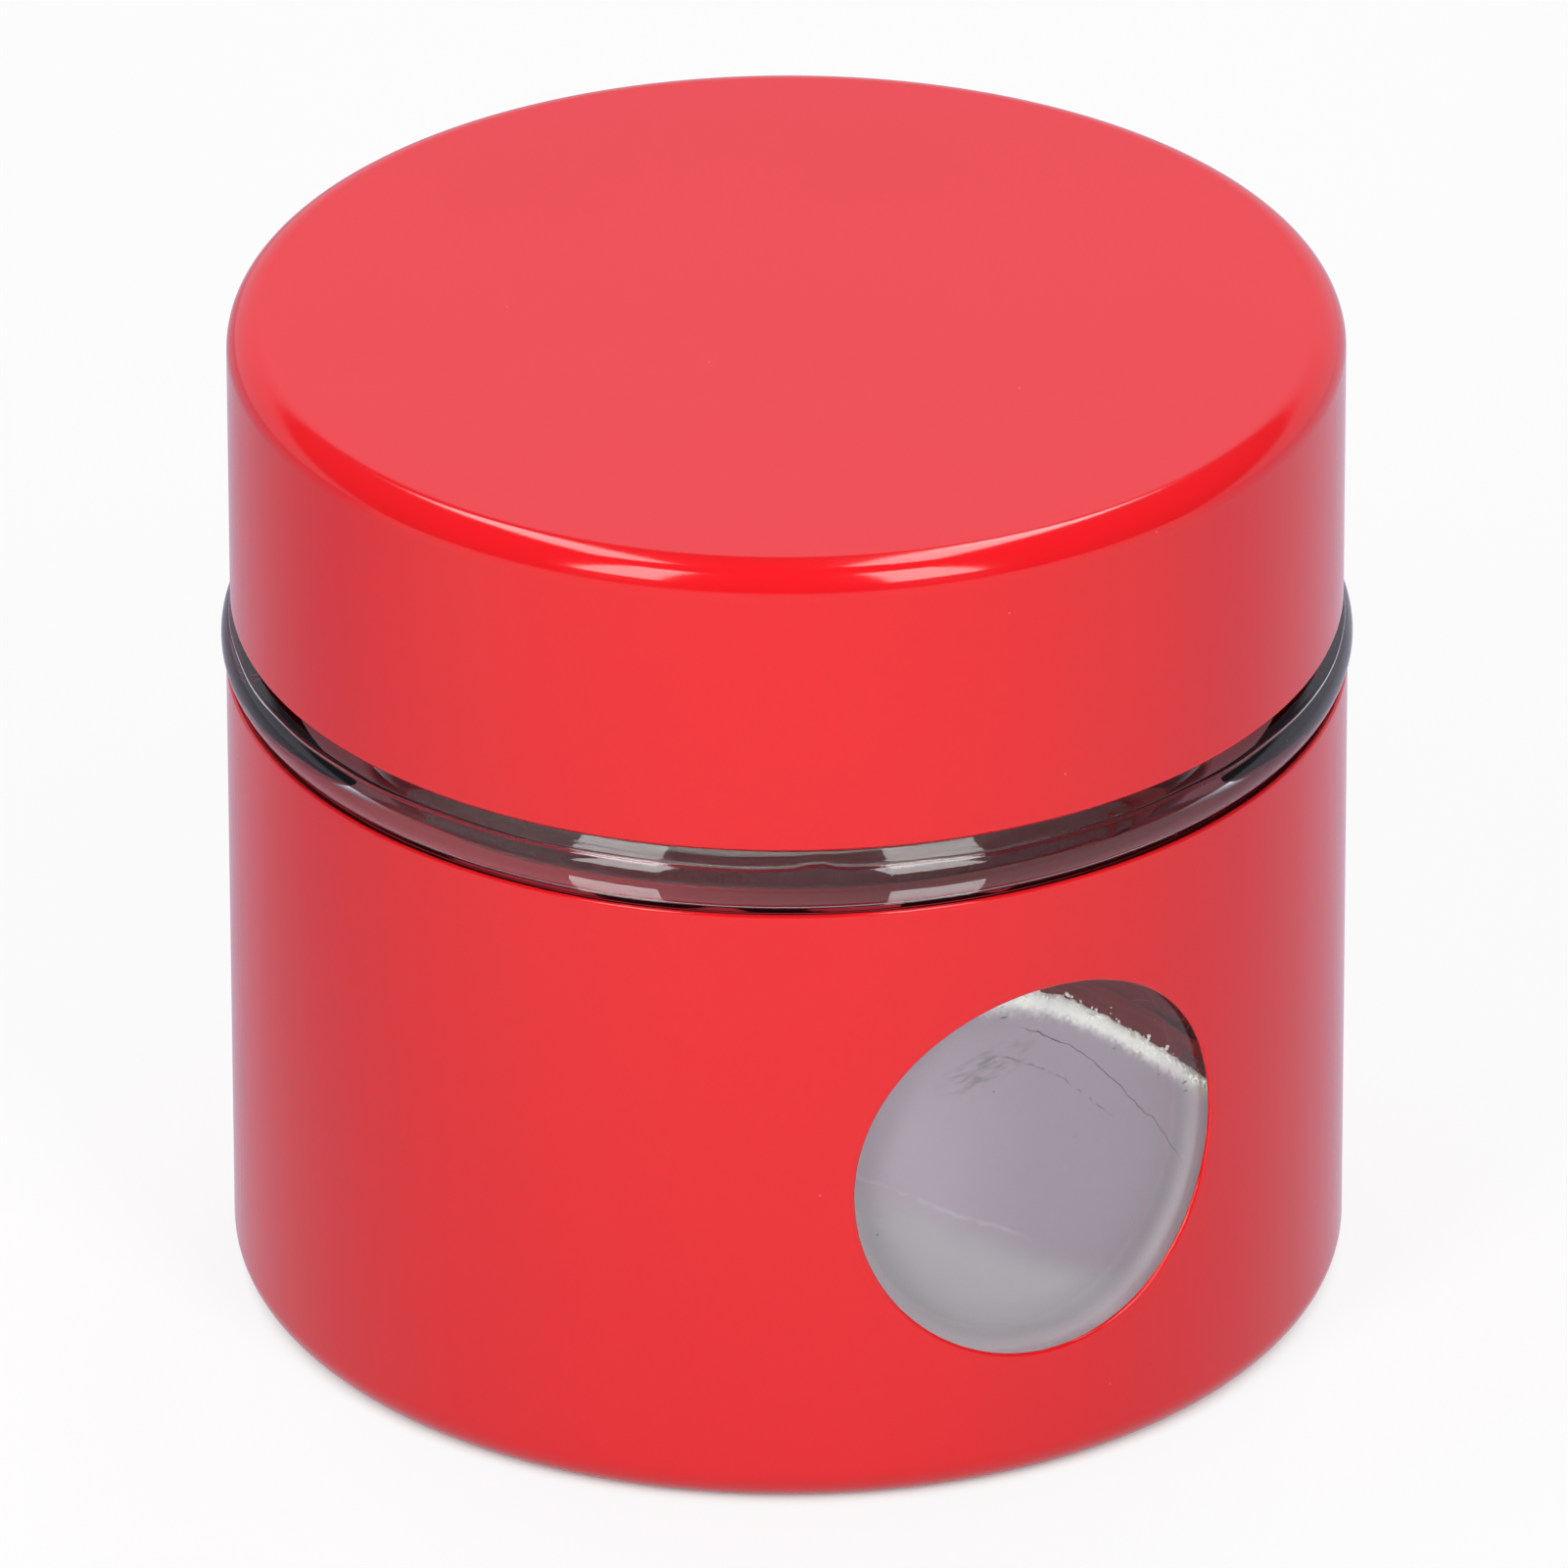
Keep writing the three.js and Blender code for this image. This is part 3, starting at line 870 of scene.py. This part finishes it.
# %% Red paint
RED = (0.760, 0.007, 0.011, 1)
RED_DEEP = (0.715, 0.005, 0.009, 1)
NIB_PALE = (0.80, 0.10, 0.11, 1)
NIB_DARK = (0.22, 0.010, 0.012, 1)
DRIFT = 26 * MM
PEEL = 1.3 * MM
PEEL_DEEP = 0.004 * MM
PAINT_FINE = 0.35 * MM
PALE_NIBS = {"spacing": 5.2 * MM, "size": 0.17 * MM, "share": 0.30}
DARK_NIBS = {"spacing": 6.1 * MM, "size": 0.13 * MM, "share": 0.20}


def red_paint():
    f = Finish(bpy.data.materials.new("red_paint"))
    place = spot(f)
    drift = grain(f, place, DRIFT, 3)
    fine = grain(f, place, PAINT_FINE, 2)
    peel = grain(f, place, PEEL, 1)
    pale = specks(f, place, **PALE_NIBS)
    dark = specks(f, place, **DARK_NIBS)
    colour = blend(f, drift * 0.7 + fine * 0.3, RED, RED_DEEP)
    colour = blend(f, pale * 0.7, colour, NIB_PALE)
    colour = blend(f, dark * 0.6, colour, NIB_DARK)
    height = peel * 0.5 + fine * 0.1 + (pale + dark) * 2.0
    return principled(f, {
        "Base Color": colour,
        "Roughness": 0.07 + drift * 0.04 + fine * 0.03,
        "Normal": bump(f, height, PEEL_DEEP),
        "IOR": 1.5,
    })


paint = red_paint()
for painted in (sleeve, lid_shell):
    painted.data.materials.append(paint)
print("painted the sleeve and the lid")

# %% [markdown]
# The sleeve's inside has a thinner, duller coat of its own, which the sheet's modifier puts on the inner
# faces. Round the window it was masked, so the pale primer is left there. The coat glows a little, less on
# the right, for the light that the glass carries down behind it and that the renderer doesn't bring there.

# %% Inner coat
COAT = (0.86, 0.020, 0.030, 1)
COAT_DEEP = (0.80, 0.014, 0.022, 1)
COAT_CLOUD = 8 * MM
PRIMER = (0.88, 0.87, 0.87, 1)
PRIMER_IN = WINDOW_R + 3 * MM
PRIMER_OUT = WINDOW_R + 7 * MM
INNER_GLOW = (1.0, 0.10, 0.14, 1)
INNER_DIM = (0.24, 0.015, 0.022, 1)
DIM_SIDE = 36 * MM
BLACK = (0, 0, 0, 1)


def inner_coat():
    f = Finish(bpy.data.materials.new("inner_coat"))
    place = spot(f)
    cloud = grain(f, place, COAT_CLOUD, 4)
    x, y, z = place_parts(f, place)
    masked = soft_step(f, window_distance(f, x, y, z), PRIMER_OUT, PRIMER_IN)
    coat = blend(f, cloud, COAT, COAT_DEEP)
    glow = blend(f, soft_step(f, x, DIM_SIDE, 0), INNER_DIM, INNER_GLOW)
    return principled(f, {
        "Base Color": blend(f, masked, coat, PRIMER),
        "Roughness": 0.45 + cloud * 0.2,
        "Emission Color": blend(f, masked, glow, BLACK),
        "Emission Strength": 0.21,
    })


sleeve.data.materials.append(inner_coat())
print("coated the sleeve's inside")

# %% [markdown]
# ## Glass
# Pressed glass is clear but never quite even, so its surface gets a slow, shallow wave. Inside, where the
# powder has sunk, it has left dust on the wall: a thin haze, streaks where it slid down, and specks. The
# dust is a second shader that is mixed in by a mask, and the mask only opens on the inner wall above the
# heap.

# %% Glass
GLASS = (0.990, 0.996, 0.992, 1)
WAVE = 9 * MM
WAVE_DEEP = 0.05 * MM
DUST = (0.86, 0.83, 0.84, 1)
DUST_PATCH = 9 * MM
DUST_HAZE = 0.6 * MM
DUST_SLIDE = 1.6
DUST_DOTS = {"spacing": 0.55 * MM, "size": 0.13 * MM, "share": 0.40}
DUST_FROM = 0.5 * MM
DUST_FULL = 2 * MM
WALL_NEAR = 0.2 * MM


def heap_top(finish, x, y):
    """The height of the heap at a place, by the same formula as the mesh but without its foot."""
    along = (x * fall_way.x + y * fall_way.y - FILL_START) / FILL_SOFT
    fall = finish.node("ShaderNodeMath", {"operation": "EXPONENT"}, {0: along}) + 1
    drop = finish.node("ShaderNodeMath", {"operation": "LOGARITHM"}, {0: fall, 1: math.e})
    return FILL_TOP - drop * (FILL_SLOPE * FILL_SOFT)


def clear_glass():
    f = Finish(bpy.data.materials.new("clear_glass"))
    place = spot(f)
    x, y, z = place_parts(f, place)
    radius = (x * x + y * y) ** 0.5
    above = soft_step(f, z - heap_top(f, x, y), DUST_FROM, DUST_FULL)
    inner = (radius < INSIDE_R + WALL_NEAR) * above
    round_way = f.node("ShaderNodeMath", {"operation": "ARCTAN2"}, {0: y, 1: x}) * INSIDE_R
    unrolled = f.node("ShaderNodeCombineXYZ", None, {"X": round_way, "Y": z * DUST_SLIDE})
    haze = soft_step(f, grain(f, unrolled, DUST_HAZE, 4), 0.50, 0.80)
    patches = soft_step(f, grain(f, place, DUST_PATCH, 3), 0.40, 0.62)
    dots = specks(f, unrolled, **DUST_DOTS)
    dust = inner * patches * (haze * 0.03 + dots * 0.6)
    wave = bump(f, grain(f, place, WAVE, 1), WAVE_DEEP)
    glass = f.node("ShaderNodeBsdfPrincipled", None, {
        "Base Color": GLASS, "Roughness": 0.01, "IOR": 1.52,
        "Transmission Weight": 1.0, "Normal": wave})
    film = f.node("ShaderNodeBsdfPrincipled", None, {"Base Color": DUST, "Roughness": 1.0})
    both = f.node("ShaderNodeMixShader", None, {0: dust, 1: glass, 2: film})
    f.node("ShaderNodeOutputMaterial", None, {"Surface": both})
    return f.owner


glass_jar.data.materials.append(clear_glass())
print("glazed the jar")

# %% [markdown]
# ## Plastic and rubber
# Neither shows while the lid is on. The cap is an off-white plastic with the faint grain of its mould, and
# the ring a grey silicone that is matt with a trace of the powder's dust.

# %% Plastic and rubber
CAP_PALE = (0.80, 0.79, 0.75, 1)
CAP_DEEP = (0.72, 0.70, 0.65, 1)
CAP_CLOUD = 14 * MM
MOULD_GRAIN = 0.4 * MM
MOULD_DEEP = 0.02 * MM
SEAL_GREY = (0.58, 0.60, 0.60, 1)
SEAL_DUSTY = (0.74, 0.73, 0.72, 1)
SEAL_CLOUD = 5 * MM
SKIN_GRAIN = 0.25 * MM
SKIN_DEEP = 0.015 * MM


def cap_plastic():
    f = Finish(bpy.data.materials.new("cap_plastic"))
    place = spot(f)
    cloud = grain(f, place, CAP_CLOUD, 3)
    mould = grain(f, place, MOULD_GRAIN, 2)
    return principled(f, {
        "Base Color": blend(f, cloud, CAP_PALE, CAP_DEEP),
        "Roughness": 0.34 + mould * 0.16,
        "Normal": bump(f, mould, MOULD_DEEP),
    })


def seal_rubber():
    f = Finish(bpy.data.materials.new("seal_rubber"))
    place = spot(f)
    dusty = soft_step(f, grain(f, place, SEAL_CLOUD, 4), 0.45, 0.75)
    skin = grain(f, place, SKIN_GRAIN, 2)
    return principled(f, {
        "Base Color": blend(f, dusty, SEAL_GREY, SEAL_DUSTY),
        "Roughness": 0.48 + dusty * 0.3,
        "Normal": bump(f, skin, SKIN_DEEP),
    })


lid_cap.data.materials.append(cap_plastic())
seal_ring.data.materials.append(seal_rubber())
print("finished the cap and the ring")

# %% [markdown]
# ## Powder
# Where the powder is pressed against the glass it shows how it settled: a layer line low down, two hairline
# cracks that follow the slope and a smudge. Short gaps under the crumbs are darkened too, as painted shade
# in their hollows. Each mark could be cut into the mesh, but the marks are finer than its faces, so each is
# a mask. A curve on the front of the heap, given by its depth or height at x, says where it is, and noise
# makes it ragged.

# %% Cracks and layers
BEND_WIDE = 1.6 * MM
BEND_FINE = 1.1 * MM
CRACK_FADE = 1.5 * MM
FIRST_WIDE = 0.09 * MM
FIRST_END = 15 * MM
SECOND_WIDE = 0.16 * MM
SECOND_FROM = -2 * MM
SECOND_TO = 7 * MM
LAYER_UP = 21.4 * MM
LAYER_FALL = 0.58
LAYER_RAGGED = 0.8 * MM
LAYER_WIDE = 0.32 * MM
LAYER_FADE = 4 * MM


def hairline(finish, off, width):
    """1 on a curve and 0 beside it, where off is the distance from the curve."""
    away = finish.node("ShaderNodeMath", {"operation": "ABSOLUTE"}, {0: off})
    return soft_step(finish, away, width, 0.3 * width)


def stretch(finish, value, low, high, soft):
    """1 between two values, with soft ends."""
    return soft_step(finish, value, low - soft, low) * soft_step(finish, value, high + soft, high)


def cracks(finish, x, depth, wander, ragged):
    """Two hairlines under the slope. Their depths in millimetres are worked out from x in millimetres."""
    along = x / MM
    bent = depth + wander * BEND_WIDE + ragged * BEND_FINE
    first_deep = 3.7 + along * 0.2 + along * along * along * 0.0009
    first = hairline(finish, bent - first_deep * MM, FIRST_WIDE)
    first = first * stretch(finish, x, 0, FIRST_END, CRACK_FADE)
    second_deep = 7.1 + along * 0.28
    second = hairline(finish, bent - second_deep * MM, SECOND_WIDE)
    second = second * stretch(finish, x, SECOND_FROM, SECOND_TO, CRACK_FADE)
    return first * 0.85 + second * soft_step(finish, ragged, -0.12, 0.12) * 0.5


def layers(finish, x, z, wander, ragged):
    """The lower layer, and the pale line along the left part of its edge."""
    over = z + x * LAYER_FALL + wander * BEND_WIDE + ragged * LAYER_RAGGED - LAYER_UP
    lower = soft_step(finish, over, 0.3 * MM, -LAYER_FADE)
    edge = hairline(finish, over, LAYER_WIDE) * soft_step(finish, x, 1 * MM, -LAYER_FADE)
    return lower, edge * soft_step(finish, ragged, -0.16, 0.10)


print("the cracks are", round(FIRST_WIDE / MM, 2), "and", round(SECOND_WIDE / MM, 2), "mm wide")

# %% Smudge and gap shade
SMUDGE_X = -4.2 * MM
SMUDGE_Z = 40.3 * MM
SMUDGE_W = 4.4 * MM
SMUDGE_H = 1.9 * MM
SMUDGE_TILT = 0.3
STRAND = 1.1 * MM
GAPS = {"spacing": 1.5 * MM, "size": 0.42 * MM, "share": 0.30}
GAP_FLAT = 3.2
GAP_FROM = 1.5 * MM
GAP_TO = 2.6 * MM
GAP_FADE = 0.4 * MM


def smudged(finish, x, z):
    """A tilted oval that breaks up into strands."""
    aside = (x - SMUDGE_X) / SMUDGE_W
    above = (z - SMUDGE_Z - x * SMUDGE_TILT) / SMUDGE_H
    strand = finish.node("ShaderNodeCombineXYZ", None, {"X": x * 0.55 + z * 0.35, "Y": z * 1.7 - x * 0.5})
    feather = soft_step(finish, grain(finish, strand, STRAND, 8), 0.40, 0.70)
    return soft_step(finish, aside * aside + above * above, 1.3, 0.0) * feather


def crumb_gap_shade(finish, x, y, z, depth):
    """Short flat gaps just under the loose edge, darkened as painted shade in their hollows."""
    flat = finish.node("ShaderNodeCombineXYZ", None, {"X": x, "Y": y, "Z": z * GAP_FLAT})
    return specks(finish, flat, **GAPS) * stretch(finish, depth, GAP_FROM, GAP_TO, GAP_FADE)


print("the smudge is about", round(2 * SMUDGE_W / MM), "mm long")

# %% [markdown]
# Loose powder scatters light and looks white, and so do the granules. Where it is pressed against the glass
# it looks grey. Behind the sleeve, from just inside the window's edge, it is painted paler: painted light
# that lifts the shade which the sleeve's edge casts there. The loose powder at the front glows faintly, as
# painted light that brightens the crest, and so does a ring just behind the window's edge, for the light
# that real powder carries sideways further than the shader's scattering does.

# %% Powder
POWDER_WHITE = (0.96, 0.975, 0.95, 1)
POWDER_PRESSED = (0.545, 0.485, 0.555, 1)
POWDER_LEFT = (0.66, 0.585, 0.66, 1)
POWDER_LOWER = (0.66, 0.64, 0.67, 1)
POWDER_EDGE_LIGHT = (0.90, 0.84, 0.89, 1)
POWDER_LAYER = (0.74, 0.73, 0.75, 1)
POWDER_CARRIED = (0.15, 0.135, 0.15, 1)
POWDER_GLOW = (0.13, 0.13, 0.12, 1)
POWDER_GAP = (0.13, 0.10, 0.12, 1)
POWDER_SMUDGE = (0.30, 0.27, 0.29, 1)
FRONT_FROM = -20 * MM
FRONT_FULL = -25 * MM
POWDER_DOTS = {"spacing": 1.9 * MM, "size": 0.15 * MM, "share": 0.22}
POWDER_DEEP = 0.35 * MM
SCATTER = 1.2 * MM


def fine_powder():
    f = Finish(bpy.data.materials.new("fine_powder"))
    place = spot(f)
    x, y, z = place_parts(f, place)
    loose = f.node("ShaderNodeAttribute", {"attribute_name": "loose"}, out="Fac")
    depth = heap_top(f, x, y) - z
    front = soft_step(f, y, FRONT_FROM, FRONT_FULL)
    wander = grain(f, place, 6 * MM, 5) - 0.5
    ragged = grain(f, place, 1.4 * MM, 4) - 0.5
    crumble = grain(f, place, GRANULE, 4)
    flour = grain(f, place, 0.12 * MM, 2)
    gap_shade = crumb_gap_shade(f, x, y, z, depth)
    lower, lower_edge = layers(f, x, z, wander, ragged)

    pressed = blend(f, soft_step(f, x, 2 * MM, -13 * MM), POWDER_PRESSED, POWDER_LEFT)
    pressed = blend(f, lower, pressed, POWDER_LOWER)
    pressed = blend(f, lower_edge * front * 0.55, pressed, POWDER_LAYER)
    pressed = blend(f, smudged(f, x, z) * front * 0.75, pressed, POWDER_SMUDGE)
    pressed = blend(f, cracks(f, x, depth, wander, ragged) * front, pressed, POWDER_GAP)
    pressed = blend(f, specks(f, place, **POWDER_DOTS) * 0.45, pressed, POWDER_GAP)
    from_window = window_distance(f, x, y, z)
    # Painted light: behind the sleeve's edge the powder is made paler, to lift the shade that the edge casts
    # there.
    edge_light = soft_step(f, from_window, WINDOW_R - 1.2 * MM, WINDOW_R + 1.6 * MM)
    pressed = blend(f, edge_light, pressed, POWDER_EDGE_LIGHT)
    white = soft_step(f, loose + (crumble - 0.5) * 0.5 + ragged * 0.4, 0.05, 0.75)
    colour = blend(f, white, pressed, POWDER_WHITE)
    # Painted shade: the gaps under the crumbs are darkened.
    colour = blend(f, gap_shade * 0.7, colour, POWDER_GAP)
    carried = stretch(f, from_window, WINDOW_R + 2 * MM, WINDOW_R + 4 * MM, 2.4 * MM)
    glow = blend(f, carried * front, BLACK, POWDER_CARRIED)
    # Painted light: the loose powder at the front glows faintly, to brighten the crest.
    glow = blend(f, white * (1 - gap_shade) * front, glow, POWDER_GLOW)
    return principled(f, {
        "Base Color": colour,
        "Roughness": 0.95 - (1 - loose) * 0.1,
        "Normal": bump(f, crumble * loose + flour * 0.12, POWDER_DEEP),
        "Specular IOR Level": 0.2,
        "Subsurface Weight": 1.0,
        "Subsurface Radius": (1.0, 1.0, 1.0),
        "Subsurface Scale": SCATTER,
        "Emission Color": glow,
        "Emission Strength": 1.0,
    })


powder.data.materials.append(fine_powder())
print("finished the powder")

# %% Granules' finish
GRANULE_PALE = (0.99, 0.99, 0.97, 1)
GRANULE_DEEP = (0.93, 0.95, 0.94, 1)
GRANULE_GRAIN = 0.3 * MM


def loose_powder():
    f = Finish(bpy.data.materials.new("loose_powder"))
    return principled(f, {
        "Base Color": blend(f, grain(f, spot(f), GRANULE_GRAIN, 3), GRANULE_PALE, GRANULE_DEEP),
        # Painted light: the granules glow faintly, to brighten the crest.
        "Roughness": 1.0,
        "Emission Color": POWDER_GLOW,
        "Emission Strength": 1.0,
    })


powder.data.materials.append(loose_powder())
print("finished the granules")

# %% [markdown]
# ## Camera
# A long lens from far away, as the nearly equal ellipses of the lid and the base show. The angle, distance
# and lens come from fitting the canister's outline in a square picture.

# %% Camera
CAMERA_AZIMUTH = math.radians(-27.6)
CAMERA_ELEVATION = math.radians(28.07)
CAMERA_FAR = 1.955
LENS = 522.6
AIM_RIGHT = -0.28 * MM
AIM_UP = 44 * MM
ROLL = math.radians(-0.13)
SENSOR = 36
CLIP_FAR = 20


def direction(azimuth, elevation=0):
    """From the canister outwards: azimuth 0 is -Y, and positive goes towards +X."""
    flat = math.cos(elevation)
    return Vector((math.sin(azimuth) * flat, -math.cos(azimuth) * flat, math.sin(elevation)))


lens = bpy.data.cameras.new("camera")
lens.lens = LENS
lens.sensor_width = SENSOR
lens.clip_end = CLIP_FAR
camera = bpy.data.objects.new("camera", lens)
bpy.context.collection.objects.link(camera)
towards = direction(CAMERA_AZIMUTH, CAMERA_ELEVATION)
right = direction(CAMERA_AZIMUTH + math.pi / 2)
camera.location = right * AIM_RIGHT + Vector((0, 0, AIM_UP)) + towards * CAMERA_FAR
camera.rotation_mode = "QUATERNION"
camera.rotation_quaternion = towards.to_track_quat("Z", "Y") @ Quaternion((0, 0, 1), ROLL)
bpy.context.scene.camera = camera
print("camera at", [round(c, 3) for c in camera.location])

# %% [markdown]
# ## Floor
# The canister stands on a plain pale floor. To the camera, and in gloss and glass, the floor shows as
# white, and it keeps a part of its real light so that the shadow stays. In gloss it is a little duller
# behind the canister and to its left, where the lamps reach it less. Through the thick glass it is dimmer
# still and painted dark red, a painted stand-in for the red light inside the jar. Under the canister it is
# left in the shade. The light that it throws back onto the canister is that of a duller paper.

# %% Floor
FLOOR_SIDE = 6
FLOOR_WHITE_SHARE = 0.85
FLOOR_SHOWN = (0.82, 0.82, 0.83, 1)
FLOOR_DULL = (0.48, 0.48, 0.50, 1)
FLOOR_FRONT = (0.99, 0.97, 0.99, 1)
FLOOR_LEFT = (0.47, 0.43, 0.56, 1)
FLOOR_RIGHT = (0.70, 0.67, 0.83, 1)
# Painted light: the dark red that the floor shows through the glass stands in for the red light inside the
# jar.
FLOOR_THROUGH = (0.15, 0.05, 0.06, 1)
WHITE = (1, 1, 1, 1)
FRONT_NEAR = -0.03
FRONT_FAR = 0.10
SIDE_FADE = 0.25
FOOT_SHADE = 3 * MM


def floor_paper():
    f = Finish(bpy.data.materials.new("floor_paper"))
    path = f.node("ShaderNodeLightPath", out="Is Camera Ray").out.node.outputs
    straight, gloss, through = [Socket(f, path["Is " + name + " Ray"]) for name in
                                ("Camera", "Glossy", "Transmission")]
    looked_through = through * (Socket(f, path["Diffuse Depth"]) < 0.5)
    direct = f.node("ShaderNodeMath", {"operation": "MINIMUM"}, {0: straight + gloss + through, 1: 1.0})
    x, y, _ = place_parts(f, spot(f))
    in_front = soft_step(f, x * towards.x + y * towards.y, FRONT_NEAR, FRONT_FAR)
    on_right = soft_step(f, x * right.x + y * right.y, -SIDE_FADE, SIDE_FADE)
    outside = soft_step(f, (x * x + y * y) ** 0.5, BODY_R - FOOT_SHADE, BODY_R)
    shade = blend(f, looked_through, blend(f, direct, FLOOR_DULL, FLOOR_SHOWN), FLOOR_THROUGH)
    paper = f.node("ShaderNodeBsdfPrincipled", None, {"Base Color": shade, "Roughness": 0.8})
    shine = blend(f, in_front, blend(f, on_right, FLOOR_LEFT, FLOOR_RIGHT), FLOOR_FRONT)
    shine = blend(f, looked_through, shine, FLOOR_THROUGH)
    glow = f.node("ShaderNodeEmission", None, {
        "Color": blend(f, straight, shine, WHITE), "Strength": 1.0})
    shown = direct * outside * FLOOR_WHITE_SHARE
    both = f.node("ShaderNodeMixShader", None, {0: shown, 1: paper, 2: glow})
    f.node("ShaderNodeOutputMaterial", None, {"Surface": both})
    return f.owner


floor_bm = bmesh.new()
bmesh.ops.create_grid(floor_bm, x_segments=4, y_segments=4, size=FLOOR_SIDE / 2)
floor_mesh = bpy.data.meshes.new("floor")
floor_bm.to_mesh(floor_mesh)
floor_bm.free()
floor_mesh.materials.append(floor_paper())
floor = bpy.data.objects.new("floor", floor_mesh)
bpy.context.collection.objects.link(floor)
print("floor", FLOOR_SIDE, "m square")

# %% [markdown]
# ## Light
# A glossy object shows the room it stands in. Behind this one there is a white backdrop, and the room round
# it is dim. So the surround is pale below a plane that tilts up to the back, and dim above it. Light that
# goes through the jar and back crosses many glass surfaces, so it is allowed more bounces than usual.

# %% Surround
BACKDROP = (0.76, 0.76, 0.88, 1)
ROOM = (0.15, 0.15, 0.18, 1)
BACKDROP_TILT = 0.7
BACKDROP_TOP = 0.03
BACKDROP_FADE = 0.06
world = bpy.data.worlds.new("surround")
bpy.context.scene.world = world
w = Finish(world)
x, y, z = place_parts(w, spot(w))
behind = direction(CAMERA_AZIMUTH + math.pi)
rise = z - (x * behind.x + y * behind.y) * BACKDROP_TILT
pale = soft_step(w, rise, BACKDROP_TOP + BACKDROP_FADE, BACKDROP_TOP - BACKDROP_FADE)
sky = w.node("ShaderNodeBackground", None, {"Color": blend(w, pale, ROOM, BACKDROP), "Strength": 1.0})
w.node("ShaderNodeOutputWorld", None, {"Surface": sky})
bpy.context.scene.view_settings.view_transform = "Standard"
bpy.context.scene.cycles.max_bounces = 32
bpy.context.scene.cycles.transmission_bounces = 28
bpy.context.scene.cycles.diffuse_bounces = 8
print("surround made")

# %% [markdown]
# A softbox is an area lamp. Two tall ones stand on the floor to the left and right of the camera, and two
# long ones hang overhead and reach back. Their power is worked out from how bright their faces should look,
# because that is what shows in the gloss. The foot of each standing one lights the canister but is veiled
# in the gloss, so that the flat lid doesn't mirror it when it is seen from low down on the far side.

# %% Softboxes
UP = Vector((0, 0, 1))
BOX_FAR = 0.7
BOX_FOOT = 0.12
BOX_VEIL = 0.36
BOX_TOP = 1.24
STANDING_LEVEL = 7.0
HANGING_UP = 1.25
HANGING_LEVEL = 6.5


def softbox(name, place, across, along, wide, high, level):
    """An area lamp whose face looks as bright as the given level, where white paper is 1."""
    lamp = bpy.data.lights.new(name, "AREA")
    lamp.shape = "RECTANGLE"
    lamp.size, lamp.size_y = wide, high
    lamp.energy = level * math.pi * wide * high
    made = bpy.data.objects.new(name, lamp)
    made.location = place
    made.rotation_mode = "QUATERNION"
    made.rotation_quaternion = Matrix((across, along, across.cross(along))).transposed().to_quaternion()
    made.visible_camera = False
    bpy.context.collection.objects.link(made)
    print(name, "power", round(lamp.energy, 2), "W")
    return made


def standing(name, azimuth, wide):
    """A tall softbox that faces the canister, at an angle from the camera in degrees, with a veiled foot."""
    outward = direction(CAMERA_AZIMUTH + math.radians(azimuth))
    made = []
    for end, low, high in (("", BOX_VEIL, BOX_TOP), ("_foot", BOX_FOOT, BOX_VEIL)):
        place = outward * BOX_FAR + UP * (high + low) / 2
        made.append(softbox(name + end, place, UP.cross(outward), UP, wide, high - low, STANDING_LEVEL))
    made[1].visible_glossy = False


def hanging(name, aside, back, wide, long):
    """A long softbox that faces down, to one side of the canister and reaching back from the camera."""
    place = right * aside + behind * back + UP * HANGING_UP
    softbox(name, place, right, behind, wide, long, HANGING_LEVEL)


standing("softbox_left", -34, 0.222)
standing("softbox_right", 29.5, 0.235)
hanging("softbox_over_left", -0.34, 0.47, 0.20, 1.1)
hanging("softbox_over_right", 0.22, 0.60, 0.20, 1.3)
